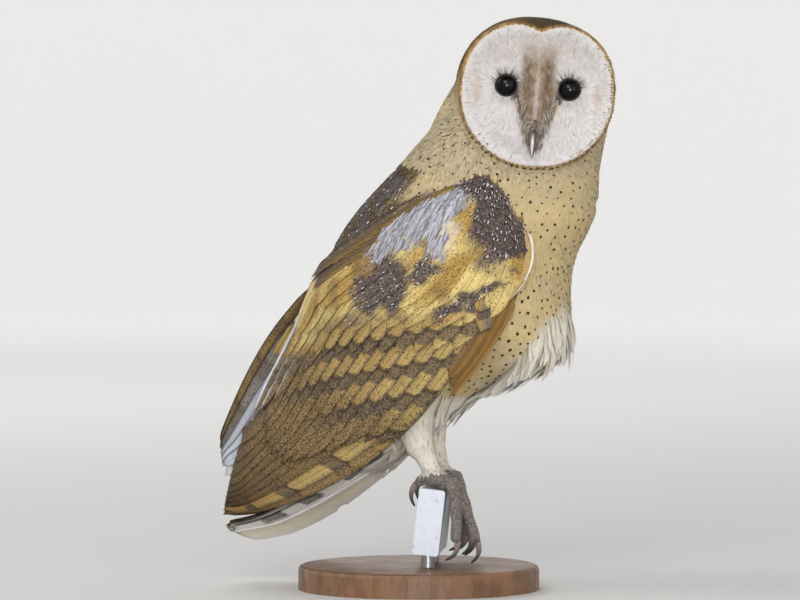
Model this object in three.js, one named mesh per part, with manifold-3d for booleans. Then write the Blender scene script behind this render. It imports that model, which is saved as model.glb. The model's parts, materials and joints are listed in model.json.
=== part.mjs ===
// A life-size barn owl standing on a cut length of painted steel bar, on a round display base.
// Millimetres, +Z up. The origin is the centre of the base's underside. The body faces -Y, and
// the head is turned to the owl's right, which is the -X side.
import * as THREE from "three";
import { mergeVertices } from "three/addons/utils/BufferGeometryUtils.js";
import Module from "manifold-3d";

const wasm = await Module();
wasm.setup();

// ---------------------------------------------------------------- driving dimensions
const GAP = 0.35; // clear space between neighbouring pieces
const RIGHT = -1;
const LEFT = 1;
const SIDES = { right: RIGHT, left: LEFT };

const SPINE_TOP = new THREE.Vector3(0, -66, 285); // inside the head
const SPINE_TILT = THREE.MathUtils.degToRad(30); // from upright, tail end backwards
const NECK_CUT = 50; // along the spine, where neck and trunk part
const WING_CUTS = [128, 215]; // along the spine, where the wing's feather groups part
// Along the spine: station, reach to the front, reach to the back, half width.
const TRUNK = [
  [12, 16, 14, 14],
  [24, 58, 30, 32],
  [40, 71, 36, 44],
  [60, 70, 40, 51],
  [80, 74, 45, 55],
  [100, 87, 51, 57],
  [116, 93, 54, 57],
  [136, 81, 55, 53],
  [158, 64, 51, 47],
  [180, 52, 43, 39],
  [202, 42, 33, 30],
  [222, 31, 24, 23],
  [240, 14, 10, 13],
];
// Up the neck: height, centre X and Y, reach across the face, towards the face, away from it.
const NECK = [
  [212, 0, -52, 24, 20, 20],
  [222, 0, -53, 54, 38, 40],
  [232, 0, -54, 54, 45, 47],
  [244, 0, -56, 53, 38, 47],
  [256, 1, -59, 52, 25, 46],
  [270, 3, -63, 50.5, 15, 44],
  [284, 5, -67, 48, 10, 42],
  [298, 6, -70, 41, 8, 36],
  [309, 6, -72, 14, 4, 16],
];

const HEAD_AT = new THREE.Vector3(0.2, -75.3, 285.8);
const HEAD_TURN = THREE.MathUtils.degToRad(-69); // about +Z, to the owl's right
const HEAD_ROLL = THREE.MathUtils.degToRad(4.1);
const DISC = { side: 43.4, up: 40.8, down: 41.8, notch: 5.5, notchHalfAngle: 0.24 };
const DISC_FORWARD = 27; // from the head's centre to the rim of the facial disc
const DISC_DEPTH = 11; // how far the disc dishes in beside the bridge
const BRIDGE = { height: 12.5, halfWidth: 8.5, top: 33, bottom: -24 };
const OCCIPUT = 45; // from the head's centre to its back
const EYE = { radius: 8.6, out: 18, up: 3.7, forward: 12, socket: 9.3 };

const TAIL = { halfWidthRoot: 12, halfWidthTip: 26, thick: 4.2, arch: 2.6 };
const TAIL_ROLL = THREE.MathUtils.degToRad(12); // its right edge carried higher

const PERCH = { length: 64, width: 15, height: 38, edge: 1.8 };
const PERCH_AT = new THREE.Vector3(0, -11.5, 60); // middle of the top face
const PERCH_YAW = THREE.MathUtils.degToRad(20);
const PERCH_LEAN = THREE.MathUtils.degToRad(6.5);
const FOOT_OUT = 20.6; // each foot from the middle of the perch
const CLAW = { length: 11, thick: 3.6, hook: 6.5 };
const BASE = { radius: 70, height: 14, bevel: 2.5 };
const ROD = { radius: 4, out: 18 };

// ---------------------------------------------------------------- shared helpers
const V = (x, y, z) => new THREE.Vector3(x, y, z);
const clamp01 = (x) => Math.min(1, Math.max(0, x));
const smooth = (low, high, x) => {
  const t = clamp01((x - low) / (high - low));
  return t * t * (3 - 2 * t);
};
const bump = (x, width) => Math.exp(-((x / width) ** 2));

// A closed form on a three.js sphere grid: at(t, a, end) gives its point, where t runs from one
// pole to the other, a is the angle round it, and end is -1 or 1 at a pole and 0 between them.
// A blunt form's first and last rings stand at t = 0 and t = 1.
function form(around, along, at, blunt = false) {
  const ball = new THREE.SphereGeometry(1, around, along);
  const uv = ball.getAttribute("uv");
  const place = ball.getAttribute("position");
  for (let i = 0; i < place.count; i++) {
    const row = Math.round((1 - uv.getY(i)) * along);
    const end = row === 0 ? -1 : row === along ? 1 : 0;
    const t = blunt ? clamp01((row - 1) / (along - 2)) : row / along;
    const p = at(t, end ? 0 : (uv.getX(i) % 1) * 2 * Math.PI, end);
    place.setXYZ(i, p.x, p.y, p.z);
  }
  return ball;
}

// A geometry as a manifold-3d solid, whichever way round its faces were wound.
function solid(geometry) {
  const g = geometry.clone();
  g.deleteAttribute("normal");
  g.deleteAttribute("uv");
  const merged = mergeVertices(g, 1e-4);
  const vertProperties = new Float32Array(merged.getAttribute("position").array);
  const triVerts = new Uint32Array(merged.index.array);
  const make = () => new wasm.Manifold(new wasm.Mesh({ numProp: 3, vertProperties, triVerts }));
  const made = make();
  if (made.volume() > 0) return made;
  for (let i = 0; i < triVerts.length; i += 3) {
    [triVerts[i + 1], triVerts[i + 2]] = [triVerts[i + 2], triVerts[i + 1]];
  }
  return make();
}

function geometryOf(manifold) {
  const mesh = manifold.getMesh();
  const places = new Float32Array(mesh.numVert * 3);
  for (let i = 0; i < mesh.numVert; i++) {
    places.set(mesh.vertProperties.subarray(i * mesh.numProp, i * mesh.numProp + 3), i * 3);
  }
  const g = new THREE.BufferGeometry();
  g.setAttribute("position", new THREE.BufferAttribute(places, 3));
  g.setIndex(new THREE.BufferAttribute(new Uint32Array(mesh.triVerts), 1));
  return g;
}

// The largest body of a solid, so that a cut leaves no crumbs.
function largest(manifold) {
  return manifold.decompose().reduce((best, s) => (s.volume() > best.volume() ? s : best));
}

// The part of a solid on the side of a plane that its normal points to, half a gap back.
function beyond(manifold, point, normal) {
  const size = 900;
  const box = new THREE.BoxGeometry(size, size, size).translate(0, 0, size / 2 + GAP / 2);
  box.applyQuaternion(new THREE.Quaternion().setFromUnitVectors(V(0, 0, 1), normal));
  box.translate(point.x, point.y, point.z);
  return manifold.intersect(solid(box));
}

// A closed tube along a curve, with round ends. radius(t) may change along it.
function tube(points, radius, around, along) {
  const curve = new THREE.CatmullRomCurve3(points);
  const at = (t, a, end) => {
    const centre = curve.getPoint(t);
    const ahead = curve.getTangent(t);
    const across = V(1, 0, 0).addScaledVector(ahead, -ahead.x).normalize();
    const up = ahead.clone().cross(across);
    const r = radius(t);
    if (end) return centre.addScaledVector(ahead, end * r * 0.8);
    return centre.addScaledVector(across, r * Math.cos(a)).addScaledVector(up, r * Math.sin(a));
  };
  return form(around, along, at, true);
}

const group = new THREE.Group();

function add(name, geometry, look, parent = group) {
  const mesh = new THREE.Mesh(geometry, look);
  mesh.name = name;
  parent.add(mesh);
  return mesh;
}

// ---------------------------------------------------------------- materials
const skin = (hex, roughness = 0.85) =>
  new THREE.MeshStandardMaterial({ color: hex, roughness, metalness: 0 });
const LOOKS = {
  buff: skin(0xcdb57c),
  pale: skin(0xe6dfca),
  face: skin(0xe4dfdd),
  wing: skin(0x8d7440),
  tail: skin(0xcfc4a6),
  foot: skin(0x8f8577, 0.7),
  horn: skin(0xa9a3a0, 0.35),
  claw: skin(0x4a4643, 0.35),
  eye: skin(0x0a0809, 0.08),
  wood: skin(0x3a2a20, 0.45),
  paint: skin(0xdadde8, 0.4),
  steel: new THREE.MeshStandardMaterial({ color: 0x8c8c8c, roughness: 0.35, metalness: 1 }),
};

// ---------------------------------------------------------------- trunk and neck
const spineAhead = V(0, Math.sin(SPINE_TILT), -Math.cos(SPINE_TILT));
const spineFront = V(0, -Math.cos(SPINE_TILT), -Math.sin(SPINE_TILT));
const spineAt = (s) => SPINE_TOP.clone().addScaledVector(spineAhead, s);

// Reach to the front, to the back and half width at a station, on a smooth curve.
const trunkSizes = new THREE.CatmullRomCurve3(TRUNK.map(([, f, b, w]) => V(f, b, w)));
const stations = TRUNK.map(([s]) => s);

function trunkForm(grow = 0) {
  const from = stations[0];
  const to = stations.at(-1);
  const at = (t, a, end) => {
    const s = from + (to - from) * t;
    const centre = spineAt(s);
    if (end) return centre.addScaledVector(spineAhead, end * (6 + grow));
    const next = Math.max(1, stations.findIndex((station) => station >= s));
    const share = (s - stations[next - 1]) / (stations[next] - stations[next - 1]);
    const size = trunkSizes.getPoint((next - 1 + share) / (stations.length - 1));
    const front = Math.cos(a);
    const across = Math.sin(a);
    const square = (Math.abs(front) ** 2.2 + Math.abs(across) ** 2.2) ** (-1 / 2.2);
    const reach = (front > 0 ? size.x : size.y) + grow;
    return centre
      .addScaledVector(spineFront, reach * front * square)
      .add(V((size.z + grow) * across * square, 0, 0));
  };
  return form(26, 20, at, true);
}

// ---------------------------------------------------------------- head
const headTurn = new THREE.Matrix4()
  .makeRotationZ(HEAD_TURN)
  .multiply(new THREE.Matrix4().makeRotationY(HEAD_ROLL));
const headPlace = new THREE.Matrix4().setPosition(HEAD_AT).multiply(headTurn);
const faceAhead = V(0, -1, 0).transformDirection(headTurn);

// Distance from the disc's centre to its rim, at an angle from straight up: a rounded heart.
function roundRim(angle) {
  const x = Math.sin(angle);
  const z = Math.cos(angle);
  const n = z > 0 ? 2.35 : 2.05;
  const tall = z > 0 ? DISC.up : DISC.down;
  return ((Math.abs(x) / DISC.side) ** n + (Math.abs(z) / tall) ** n) ** (-1 / n);
}

function notchDepth(angle) {
  const fromTop = Math.atan2(Math.sin(angle), Math.cos(angle));
  return DISC.notch * Math.exp(-(Math.abs(fromTop / DISC.notchHalfAngle) ** 1.6));
}

const rim = (angle) => roundRim(angle) - notchDepth(angle);

// How far the rim stands forward of the head's centre: the sides and the brow lie back.
const rimForward = (angle) =>
  DISC_FORWARD - 5.5 * Math.sin(angle) ** 2 - 3.5 * Math.max(0, Math.cos(angle)) ** 2;

// The face inside the rim: two dishes with the bridge of stiff feathers between them.
function faceForward(x, z, share, angle) {
  const dish = DISC_DEPTH * (1 - share ** 2.4);
  const along = smooth(BRIDGE.bottom - 12, BRIDGE.bottom + 10, z) * (1 - smooth(10, BRIDGE.top, z));
  const width = BRIDGE.halfWidth * (0.75 + 0.45 * smooth(-14, 20, z));
  const level = THREE.MathUtils.lerp(DISC_FORWARD, rimForward(angle), share ** 0.5);
  return level - dish + BRIDGE.height * along * bump(x, width);
}

const FACE_SHARE = 0.5; // how much of the form's length lies inside the disc
function headForm() {
  const at = (t, angle) => {
    if (t <= FACE_SHARE) {
      const share = t / FACE_SHARE;
      const x = rim(angle) * share * Math.sin(angle);
      const z = rim(angle) * share * Math.cos(angle);
      const lip = 1.6 * bump(share - 0.95, 0.07);
      return V(x, -faceForward(x, z, share, angle) - lip, z);
    }
    const back = ((t - FACE_SHARE) / (1 - FACE_SHARE)) * (Math.PI / 2);
    const skull = Math.min(roundRim(angle) + 9 * Math.sin(back), 46);
    const notch = notchDepth(angle) * (1 - smooth(0, 0.3, back));
    const wide = THREE.MathUtils.lerp(roundRim(angle), skull, smooth(0, 0.7, back)) + 1.5 - notch;
    const r = wide * Math.max(0, Math.cos(back)) ** 0.55;
    const y = -rimForward(angle) + (OCCIPUT + rimForward(angle)) * Math.sin(back);
    return V(r * Math.sin(angle) - 9 * Math.sin(back), y, r * Math.cos(angle) + 3 * Math.sin(back));
  };
  return form(40, 22, at).applyMatrix4(headPlace);
}

// The neck runs from the shoulders into the back of the turned head.
const faceAcross = V(1, 0, 0).transformDirection(new THREE.Matrix4().makeRotationZ(HEAD_TURN));
const faceLevel = V(0, -1, 0).transformDirection(new THREE.Matrix4().makeRotationZ(HEAD_TURN));

function neckForm(grow = 0) {
  const centres = new THREE.CatmullRomCurve3(NECK.map(([z, x, y]) => V(x, y, z)));
  const reaches = new THREE.CatmullRomCurve3(NECK.map((station) => V(...station.slice(3))));
  return form(22, 11, (t, a, end) => {
    const reach = reaches.getPoint(t);
    const ahead = Math.cos(a);
    const centre = centres.getPoint(t);
    if (end) return centre;
    return centre
      .addScaledVector(faceLevel, ((ahead > 0 ? reach.y : reach.z) + grow) * ahead)
      .addScaledVector(faceAcross, (reach.x + grow) * Math.sin(a));
  });
}

// The bill: a short horny hook that leaves the bridge between the eyes.
function billForm(upper, grow = 0) {
  const root = upper ? V(0, -31, -13) : V(0, -30, -20);
  const knee = upper ? V(0, -36.5, -23) : V(0, -33.5, -25.5);
  const tip = upper ? V(0, -34.5, -36.5) : V(0, -33, -31.5);
  const curve = new THREE.QuadraticBezierCurve3(root, knee, tip);
  const thick = upper ? 4 : 2.4;
  const at = (t, a, end) => {
    const p = curve.getPoint(t);
    const ahead = curve.getTangent(t);
    if (end) return p.addScaledVector(ahead, end * (0.4 + grow));
    const up = V(1, 0, 0).cross(ahead).normalize();
    const r = thick * (1 - t ** 1.7) + 0.35 + grow;
    return p.addScaledVector(V(1, 0, 0), r * 0.85 * Math.cos(a)).addScaledVector(up, r * Math.sin(a));
  };
  return form(8, 8, at, true);
}

// ---------------------------------------------------------------- wings
// The folded wing's lower and upper edge, from the bend to the tip, on the right side.
const WING_LOWER = [
  V(-36, -68, 236),
  V(-37, -85, 207),
  V(-43, -81, 172),
  V(-50, -58, 139),
  V(-49, -29, 108),
  V(-38, 20, 71),
  V(-22, 82, 43.5),
  V(-9, 124, 38.5),
];
const WING_UPPER = [
  V(-40, -56, 239),
  V(-57, -24, 226),
  V(-56, 10, 207),
  V(-33, 53, 183),
  V(-15, 78, 149),
  V(-10, 100, 112),
  V(-7, 121, 67),
  V(-6, 127.5, 46),
];
const WING_BULGE = [4, 11, 14, 15, 14, 9, 5, 2];
const WING_THICK = [10, 17, 18, 18, 16, 10, 6, 3.4];
const FAR_LIFT = V(4, 10, 22); // how much higher the left wing's tip is carried
const FAR_HUMP = 3; // and how far back its middle stands

function wingForm(side, grow = 0) {
  const lower = new THREE.CatmullRomCurve3(WING_LOWER);
  const upper = new THREE.CatmullRomCurve3(WING_UPPER);
  const sizes = new THREE.CatmullRomCurve3(WING_BULGE.map((b, i) => V(b, WING_THICK[i], 0)));
  const at = (t, a, end) => {
    const low = lower.getPoint(t);
    const high = upper.getPoint(t);
    const size = sizes.getPoint(t);
    const ahead = lower.getTangent(t).add(upper.getTangent(t)).normalize();
    const edge = high.clone().sub(low).normalize();
    const out = ahead.clone().cross(edge).normalize();
    if (out.x > 0) out.negate();
    const share = end ? 0.5 : (1 - Math.cos(a)) / 2;
    const p = low
      .lerp(high, share)
      .addScaledVector(out, size.x * 4 * share * (1 - share) - size.y * 0.27);
    if (end) {
      p.addScaledVector(ahead, end * (2 + grow));
    } else {
      p.addScaledVector(edge, -grow * Math.cos(a));
      p.addScaledVector(out, (size.y / 2 + grow) * Math.sin(a));
    }
    if (side === LEFT) {
      p.x = -p.x;
      p.add(V(FAR_LIFT.x * t, FAR_LIFT.y * t + FAR_HUMP * Math.sin(Math.PI * t), FAR_LIFT.z * t));
    }
    return p;
  };
  return form(14, 18, at, true);
}

// ---------------------------------------------------------------- tail
function tailForm(grow = 0) {
  const line = new THREE.CatmullRomCurve3([
    V(0, 8, 88),
    V(0, 23, 77),
    V(0, 43, 64),
    V(0, 66, 50.5),
    V(0, 94, 37.5),
    V(0, 121, 31.5),
  ]);
  const at = (t, a, end) => {
    const centre = line.getPoint(t);
    const ahead = line.getTangent(t);
    const up = V(1, 0, 0).cross(ahead).normalize();
    if (up.z < 0) up.negate();
    if (end) return centre.addScaledVector(ahead, end * (1 + grow));
    const wide = THREE.MathUtils.lerp(TAIL.halfWidthRoot, TAIL.halfWidthTip, smooth(0, 0.75, t));
    const thick = (TAIL.thick / 2) * (1.25 - 0.5 * t);
    const x = Math.cos(a);
    return centre
      .addScaledVector(V(Math.cos(TAIL_ROLL), 0, -Math.sin(TAIL_ROLL)), (wide + grow) * x)
      .addScaledVector(up, (thick + grow) * Math.sin(a) - TAIL.arch * x * x)
      .addScaledVector(ahead, (5 * x - 2 * x * x) * smooth(0.6, 1, t));
  };
  return form(16, 12, at, true);
}

// ---------------------------------------------------------------- legs and feet
const perchPlace = new THREE.Matrix4()
  .makeTranslation(PERCH_AT)
  .multiply(new THREE.Matrix4().makeRotationZ(PERCH_YAW))
  .multiply(new THREE.Matrix4().makeRotationX(PERCH_LEAN));
const onPerch = (x, y, z) => V(x, y, z).applyMatrix4(perchPlace);

const palmForm = (side, grow = 0) =>
  form(10, 6, (t, a) => {
    const up = Math.cos(t * Math.PI);
    const round = Math.sin(t * Math.PI);
    return V(
      side * FOOT_OUT + (10.5 + grow) * round * Math.cos(a),
      (7.4 + grow) * round * Math.sin(a),
      6.1 + (5.4 + grow) * up,
    );
  }).applyMatrix4(perchPlace);

function shankForm(side, grow = 0) {
  const foot = onPerch(side * FOOT_OUT, 0.5, 8);
  const middle = side === RIGHT ? V(-22, -11.5, 84) : V(21.5, 0, 84);
  const heel = side === RIGHT ? V(-24, -3, 106) : V(24, 7, 106);
  return tube([foot, middle, heel], (t) => 5.2 + 1.6 * t + grow, 9, 5);
}

function thighForm(side, grow = 0) {
  const low = side === RIGHT ? V(-21.8, -11.8, 81) : V(21.4, 1.5, 83);
  const high = side === RIGHT ? V(-26, -4, 134) : V(26, 6, 134);
  const middle = low.clone().lerp(high, 0.5).add(V(side * 1.5, 2, 0));
  return tube([low, middle, high], (t) => 7.8 + 11.5 * smooth(0, 0.8, t) + grow, 12, 7);
}

// Toes over the bar: their place along it from the middle of the foot, their thickness, and
// their path as distances forward of the bar's middle and above its top.
const TOES = [
  {
    name: "inner",
    along: -7.9,
    thick: 3.4,
    path: [[3.5, 5.8], [9.4, 5], [14.5, -4.5], [19.5, -15], [22, -24]],
  },
  {
    name: "middle",
    along: 0,
    thick: 3.7,
    path: [[3.5, 5.8], [9.6, 5], [15.5, -4.5], [22.5, -16], [27, -27]],
  },
  {
    name: "outer",
    along: 7.9,
    thick: 3.6,
    path: [[3.5, 5.8], [9.2, 5], [13.2, -5], [15.6, -16], [16.6, -27]],
  },
  {
    name: "hind",
    along: -1,
    thick: 3.1,
    path: [[-3.5, 5.4], [-6, 4.9], [-8.2, 3.6], [-9.4, 1.4]],
  },
];
const FAR_REACH = 0.7; // the left foot's toes hang closer to the bar

function toePoints(side, toe) {
  const edge = 9;
  return toe.path.map(([forward, up], i) => {
    const past = Math.max(0, forward - edge) * (side === LEFT ? 1 - FAR_REACH : 0);
    const x = side * (FOOT_OUT + toe.along * (1 + 0.08 * i));
    return V(x, past - forward, up);
  });
}

const toeForm = (side, toe, grow = 0) =>
  tube(
    toePoints(side, toe),
    (t) => toe.thick * (1 + 0.09 * Math.cos(t * 6.4 * Math.PI) - 0.07 * t) + grow,
    6,
    10,
  ).applyMatrix4(perchPlace);

// The claw leaves the toe's last joint and hooks back towards the sole.
function clawForm(side, toe) {
  const points = toePoints(side, toe);
  const end = points.at(-1);
  const ahead = end.clone().sub(points.at(-2)).normalize();
  const sole = V(1, 0, 0).cross(ahead).normalize();
  if (toe.path[0][0] * sole.y < 0) sole.negate();
  const root = end.clone().addScaledVector(ahead, toe.thick * 0.2).addScaledVector(sole, -0.9);
  const knee = root.clone().addScaledVector(ahead, CLAW.length * 0.75).addScaledVector(sole, -1.2);
  const tip = root.clone().addScaledVector(ahead, CLAW.length).addScaledVector(sole, CLAW.hook);
  const curve = new THREE.QuadraticBezierCurve3(root, knee, tip);
  const at = (t, a, last) => {
    const p = curve.getPoint(t);
    const on = curve.getTangent(t);
    if (last) return p.addScaledVector(on, last * 0.3);
    const up = V(1, 0, 0).cross(on).normalize();
    const r = (CLAW.thick / 2) * (1 - t) + 0.4;
    return p.addScaledVector(V(1, 0, 0), r * 0.85 * Math.cos(a)).addScaledVector(up, r * Math.sin(a));
  };
  return form(6, 7, at, true).applyMatrix4(perchPlace);
}

// ---------------------------------------------------------------- stand and perch
function perchGeometry(grow = 0) {
  const corner = PERCH.edge + grow;
  const w = PERCH.width / 2 - PERCH.edge;
  const h = PERCH.height / 2 - PERCH.edge;
  const depth = PERCH.length + 2 * grow;
  const outline = new THREE.Shape();
  outline.absarc(w, h, corner, 0, Math.PI / 2);
  outline.absarc(-w, h, corner, Math.PI / 2, Math.PI);
  outline.absarc(-w, -h, corner, Math.PI, 1.5 * Math.PI);
  outline.absarc(w, -h, corner, 1.5 * Math.PI, 2 * Math.PI);
  return new THREE.ExtrudeGeometry(outline, { depth, bevelEnabled: false, curveSegments: 3 })
    .translate(0, 0, -depth / 2)
    .rotateX(Math.PI / 2)
    .rotateZ(Math.PI / 2)
    .translate(0, 0, -PERCH.height / 2);
}

function baseGeometry() {
  const { radius, height, bevel } = BASE;
  return new THREE.LatheGeometry(
    [
      new THREE.Vector2(0, 0),
      new THREE.Vector2(radius, 0),
      new THREE.Vector2(radius, height - bevel),
      new THREE.Vector2(radius - bevel * 0.3, height - bevel * 0.3),
      new THREE.Vector2(radius - bevel, height),
      new THREE.Vector2(0, height),
    ],
    36,
  ).rotateX(Math.PI / 2);
}

// ---------------------------------------------------------------- the owl
// A solid parted by planes across the spine, from its head end to its tail end.
function partedAlongSpine(manifold, cuts) {
  let rest = manifold;
  const pieces = cuts.map((s) => {
    const piece = beyond(rest, spineAt(s), spineAhead.clone().negate());
    rest = beyond(rest, spineAt(s), spineAhead);
    return piece;
  });
  return [...pieces, rest];
}

const bodyGrown = solid(trunkForm(GAP)).add(solid(neckForm(GAP)));
const headWhole = solid(headForm());
const whole = solid(trunkForm()).add(solid(neckForm())).add(headWhole);

const neckPlane = {
  point: HEAD_AT.clone().add(V(0, 0, -39)),
  normal: V(0, 0, 1).addScaledVector(faceAhead, 0.2).normalize(),
};
const trunkPlane = { point: spineAt(NECK_CUT), normal: spineAhead };

const eyePlace = (side) => V(side * EYE.out, -EYE.forward, EYE.up);
let head = beyond(whole, neckPlane.point, neckPlane.normal);
for (const side of Object.values(SIDES)) {
  const at = eyePlace(side).applyMatrix4(headPlace);
  head = head.subtract(solid(new THREE.SphereGeometry(EYE.socket, 12, 9).translate(at.x, at.y, at.z)));
}
for (const upper of [true, false]) {
  head = head.subtract(solid(billForm(upper, GAP).applyMatrix4(headPlace)));
}
const below = beyond(whole, neckPlane.point, neckPlane.normal.clone().negate());
const neck = beyond(below, trunkPlane.point, trunkPlane.normal.clone().negate());
const trunk = beyond(below, trunkPlane.point, trunkPlane.normal);

const shoulders = { right: solid(wingForm(RIGHT, GAP)), left: solid(wingForm(LEFT, GAP)) };

add("head", geometryOf(largest(head)), LOOKS.buff);
add("neck", geometryOf(largest(neck)), LOOKS.buff);

const headFrame = new THREE.Group();
headFrame.applyMatrix4(headPlace);
group.add(headFrame);
for (const [name, side] of Object.entries(SIDES)) {
  const ball = new THREE.SphereGeometry(EYE.radius, 12, 9).translate(...eyePlace(side));
  add(`eye_${name}`, ball, LOOKS.eye, headFrame);
}
const billUpper = solid(billForm(true));
const billLower = solid(billForm(false)).subtract(solid(billForm(true, GAP)));
add("bill_upper", geometryOf(billUpper), LOOKS.horn, headFrame);
add("bill_lower", geometryOf(largest(billLower)), LOOKS.horn, headFrame);

for (const [name, side] of Object.entries(SIDES)) {
  const wing = solid(wingForm(side)).subtract(bodyGrown);
  const [coverts, secondaries, primaries] = partedAlongSpine(wing, WING_CUTS);
  add(`wing_${name}_coverts`, geometryOf(largest(coverts)), LOOKS.wing);
  add(`wing_${name}_secondaries`, geometryOf(largest(secondaries)), LOOKS.wing);
  add(`wing_${name}_primaries`, geometryOf(largest(primaries)), LOOKS.wing);
}
add("trunk", geometryOf(largest(trunk)), LOOKS.buff);

const tail = solid(tailForm()).subtract(bodyGrown).subtract(shoulders.right).subtract(shoulders.left);
add("tail", geometryOf(largest(tail)), LOOKS.tail);

const perchGrown = solid(perchGeometry(GAP).applyMatrix4(perchPlace));
for (const [name, side] of Object.entries(SIDES)) {
  const palmGrown = solid(palmForm(side, GAP));
  const thigh = solid(thighForm(side)).subtract(bodyGrown).subtract(shoulders[name]);
  const shank = solid(shankForm(side)).subtract(solid(thighForm(side, GAP))).subtract(palmGrown);
  add(`thigh_${name}`, geometryOf(largest(thigh)), LOOKS.pale);
  add(`shank_${name}`, geometryOf(largest(shank.subtract(bodyGrown))), LOOKS.foot);
  add(`foot_${name}`, palmForm(side), LOOKS.foot);
  for (const toe of TOES) {
    const digit = solid(toeForm(side, toe)).subtract(palmGrown).subtract(perchGrown);
    add(`toe_${name}_${toe.name}`, geometryOf(largest(digit)), LOOKS.foot);
    const claw = solid(clawForm(side, toe)).subtract(solid(toeForm(side, toe, GAP)));
    add(`claw_${name}_${toe.name}`, geometryOf(largest(claw.subtract(perchGrown))), LOOKS.claw);
  }
}

add("perch", perchGeometry().applyMatrix4(perchPlace), LOOKS.paint);
add("stand_base", baseGeometry(), LOOKS.wood);
for (const [name, side] of Object.entries(SIDES)) {
  const top = onPerch(side * ROD.out, 0, -PERCH.height + 4);
  const height = top.z - BASE.height - GAP;
  const rod = new THREE.CylinderGeometry(ROD.radius, ROD.radius, height, 20)
    .rotateX(Math.PI / 2)
    .translate(top.x, top.y, BASE.height + GAP + height / 2);
  add(`stand_rod_${name}`, geometryOf(largest(solid(rod).subtract(perchGrown))), LOOKS.steel);
}

export default group;
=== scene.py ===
# %% [markdown]
# # A barn owl, life size, on a display stand
#
# The frame holds the owl's true solids: head, neck, trunk, wings, tail, legs and the stand. This
# lesson grows the looks over them: one skin under everything, then feathers of real mesh laid on
# it from the tail end forwards, eyes, bill, claws, and the finishes of the stand.
# The bird faces -Y and turns its head to its own right, which is the -X side. Metres throughout.

import json

import bmesh
import bpy
import numpy as np
from mathutils import Matrix, Vector
from mathutils.bvhtree import BVHTree
from mathutils.kdtree import KDTree

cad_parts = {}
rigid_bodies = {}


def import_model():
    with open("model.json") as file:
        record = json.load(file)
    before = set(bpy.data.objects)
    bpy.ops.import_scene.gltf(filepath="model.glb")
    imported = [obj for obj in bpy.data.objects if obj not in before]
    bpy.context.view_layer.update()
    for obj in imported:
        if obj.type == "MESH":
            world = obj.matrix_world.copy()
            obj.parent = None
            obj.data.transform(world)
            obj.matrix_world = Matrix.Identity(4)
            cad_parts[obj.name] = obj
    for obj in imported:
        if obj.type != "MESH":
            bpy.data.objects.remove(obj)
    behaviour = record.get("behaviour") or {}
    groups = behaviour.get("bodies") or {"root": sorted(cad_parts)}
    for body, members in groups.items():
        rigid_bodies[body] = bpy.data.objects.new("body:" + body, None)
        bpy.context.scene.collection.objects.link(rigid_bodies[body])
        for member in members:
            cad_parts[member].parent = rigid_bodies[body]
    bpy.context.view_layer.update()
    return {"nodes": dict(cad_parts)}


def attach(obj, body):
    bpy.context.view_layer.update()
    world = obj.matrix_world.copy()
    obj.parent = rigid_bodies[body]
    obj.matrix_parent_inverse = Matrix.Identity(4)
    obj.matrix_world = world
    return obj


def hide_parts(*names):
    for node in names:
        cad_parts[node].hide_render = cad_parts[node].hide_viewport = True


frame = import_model()
MM = 0.001
SIDES = {"right": -1, "left": 1}

# %% [markdown]
# ## Camera, sweep and light
#
# A long lens looks at the bird from its right side and almost level with it, so nothing is drawn
# out of proportion. The floor rises into a pale sweep all round, so that there
# is no corner behind the bird from any side, and the lamps are large, so the shadows are soft.

# %% Camera
VIEW_AZIMUTH, VIEW_ELEVATION, VIEW_DISTANCE = -65.0, 1.5, 2.58
LOOK_AT = Vector((0.0, 0.012, 0.1674))


def toward(azimuth, elevation):
    """The way to a place seen from the bird; azimuth 0 is straight ahead of it. Both in degrees."""
    a, e = np.radians((azimuth, elevation))
    return Vector((np.sin(a) * np.cos(e), -np.cos(a) * np.cos(e), np.sin(e)))


def aimed(name, data, way, distance):
    """A camera or a lamp at a distance from the bird, looking back at it."""
    thing = bpy.data.objects.new(name, data)
    thing.location = LOOK_AT + way * distance
    thing.rotation_euler = (-way).to_track_quat("-Z", "Y").to_euler()
    bpy.context.scene.collection.objects.link(thing)
    return thing


camera_data = bpy.data.cameras.new("camera")
camera_data.lens = 200
camera_data.clip_end = 60
camera = aimed("camera", camera_data, toward(VIEW_AZIMUTH, VIEW_ELEVATION), VIEW_DISTANCE)
bpy.context.scene.camera = camera
print("camera height above the floor:", round(camera.location.z, 3), "m")


# %% Colours and short hands for node trees
def srgb(*parts):
    """A colour given as 0-255 screen values, as the linear RGB that shaders and attributes take."""
    v = np.array(parts, float) / 255
    return np.where(v <= 0.04045, v / 12.92, ((v + 0.055) / 1.055) ** 2.4)


def rgba(colour):
    return (*colour, 1.0)


PURE_WHITE = rgba((1, 1, 1))


def settle(node, **values):
    """Sets a node's unlinked inputs; an underscore in a name stands for a space."""
    for label, value in values.items():
        node.inputs[label.replace("_", " ")].default_value = value
    return node


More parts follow.
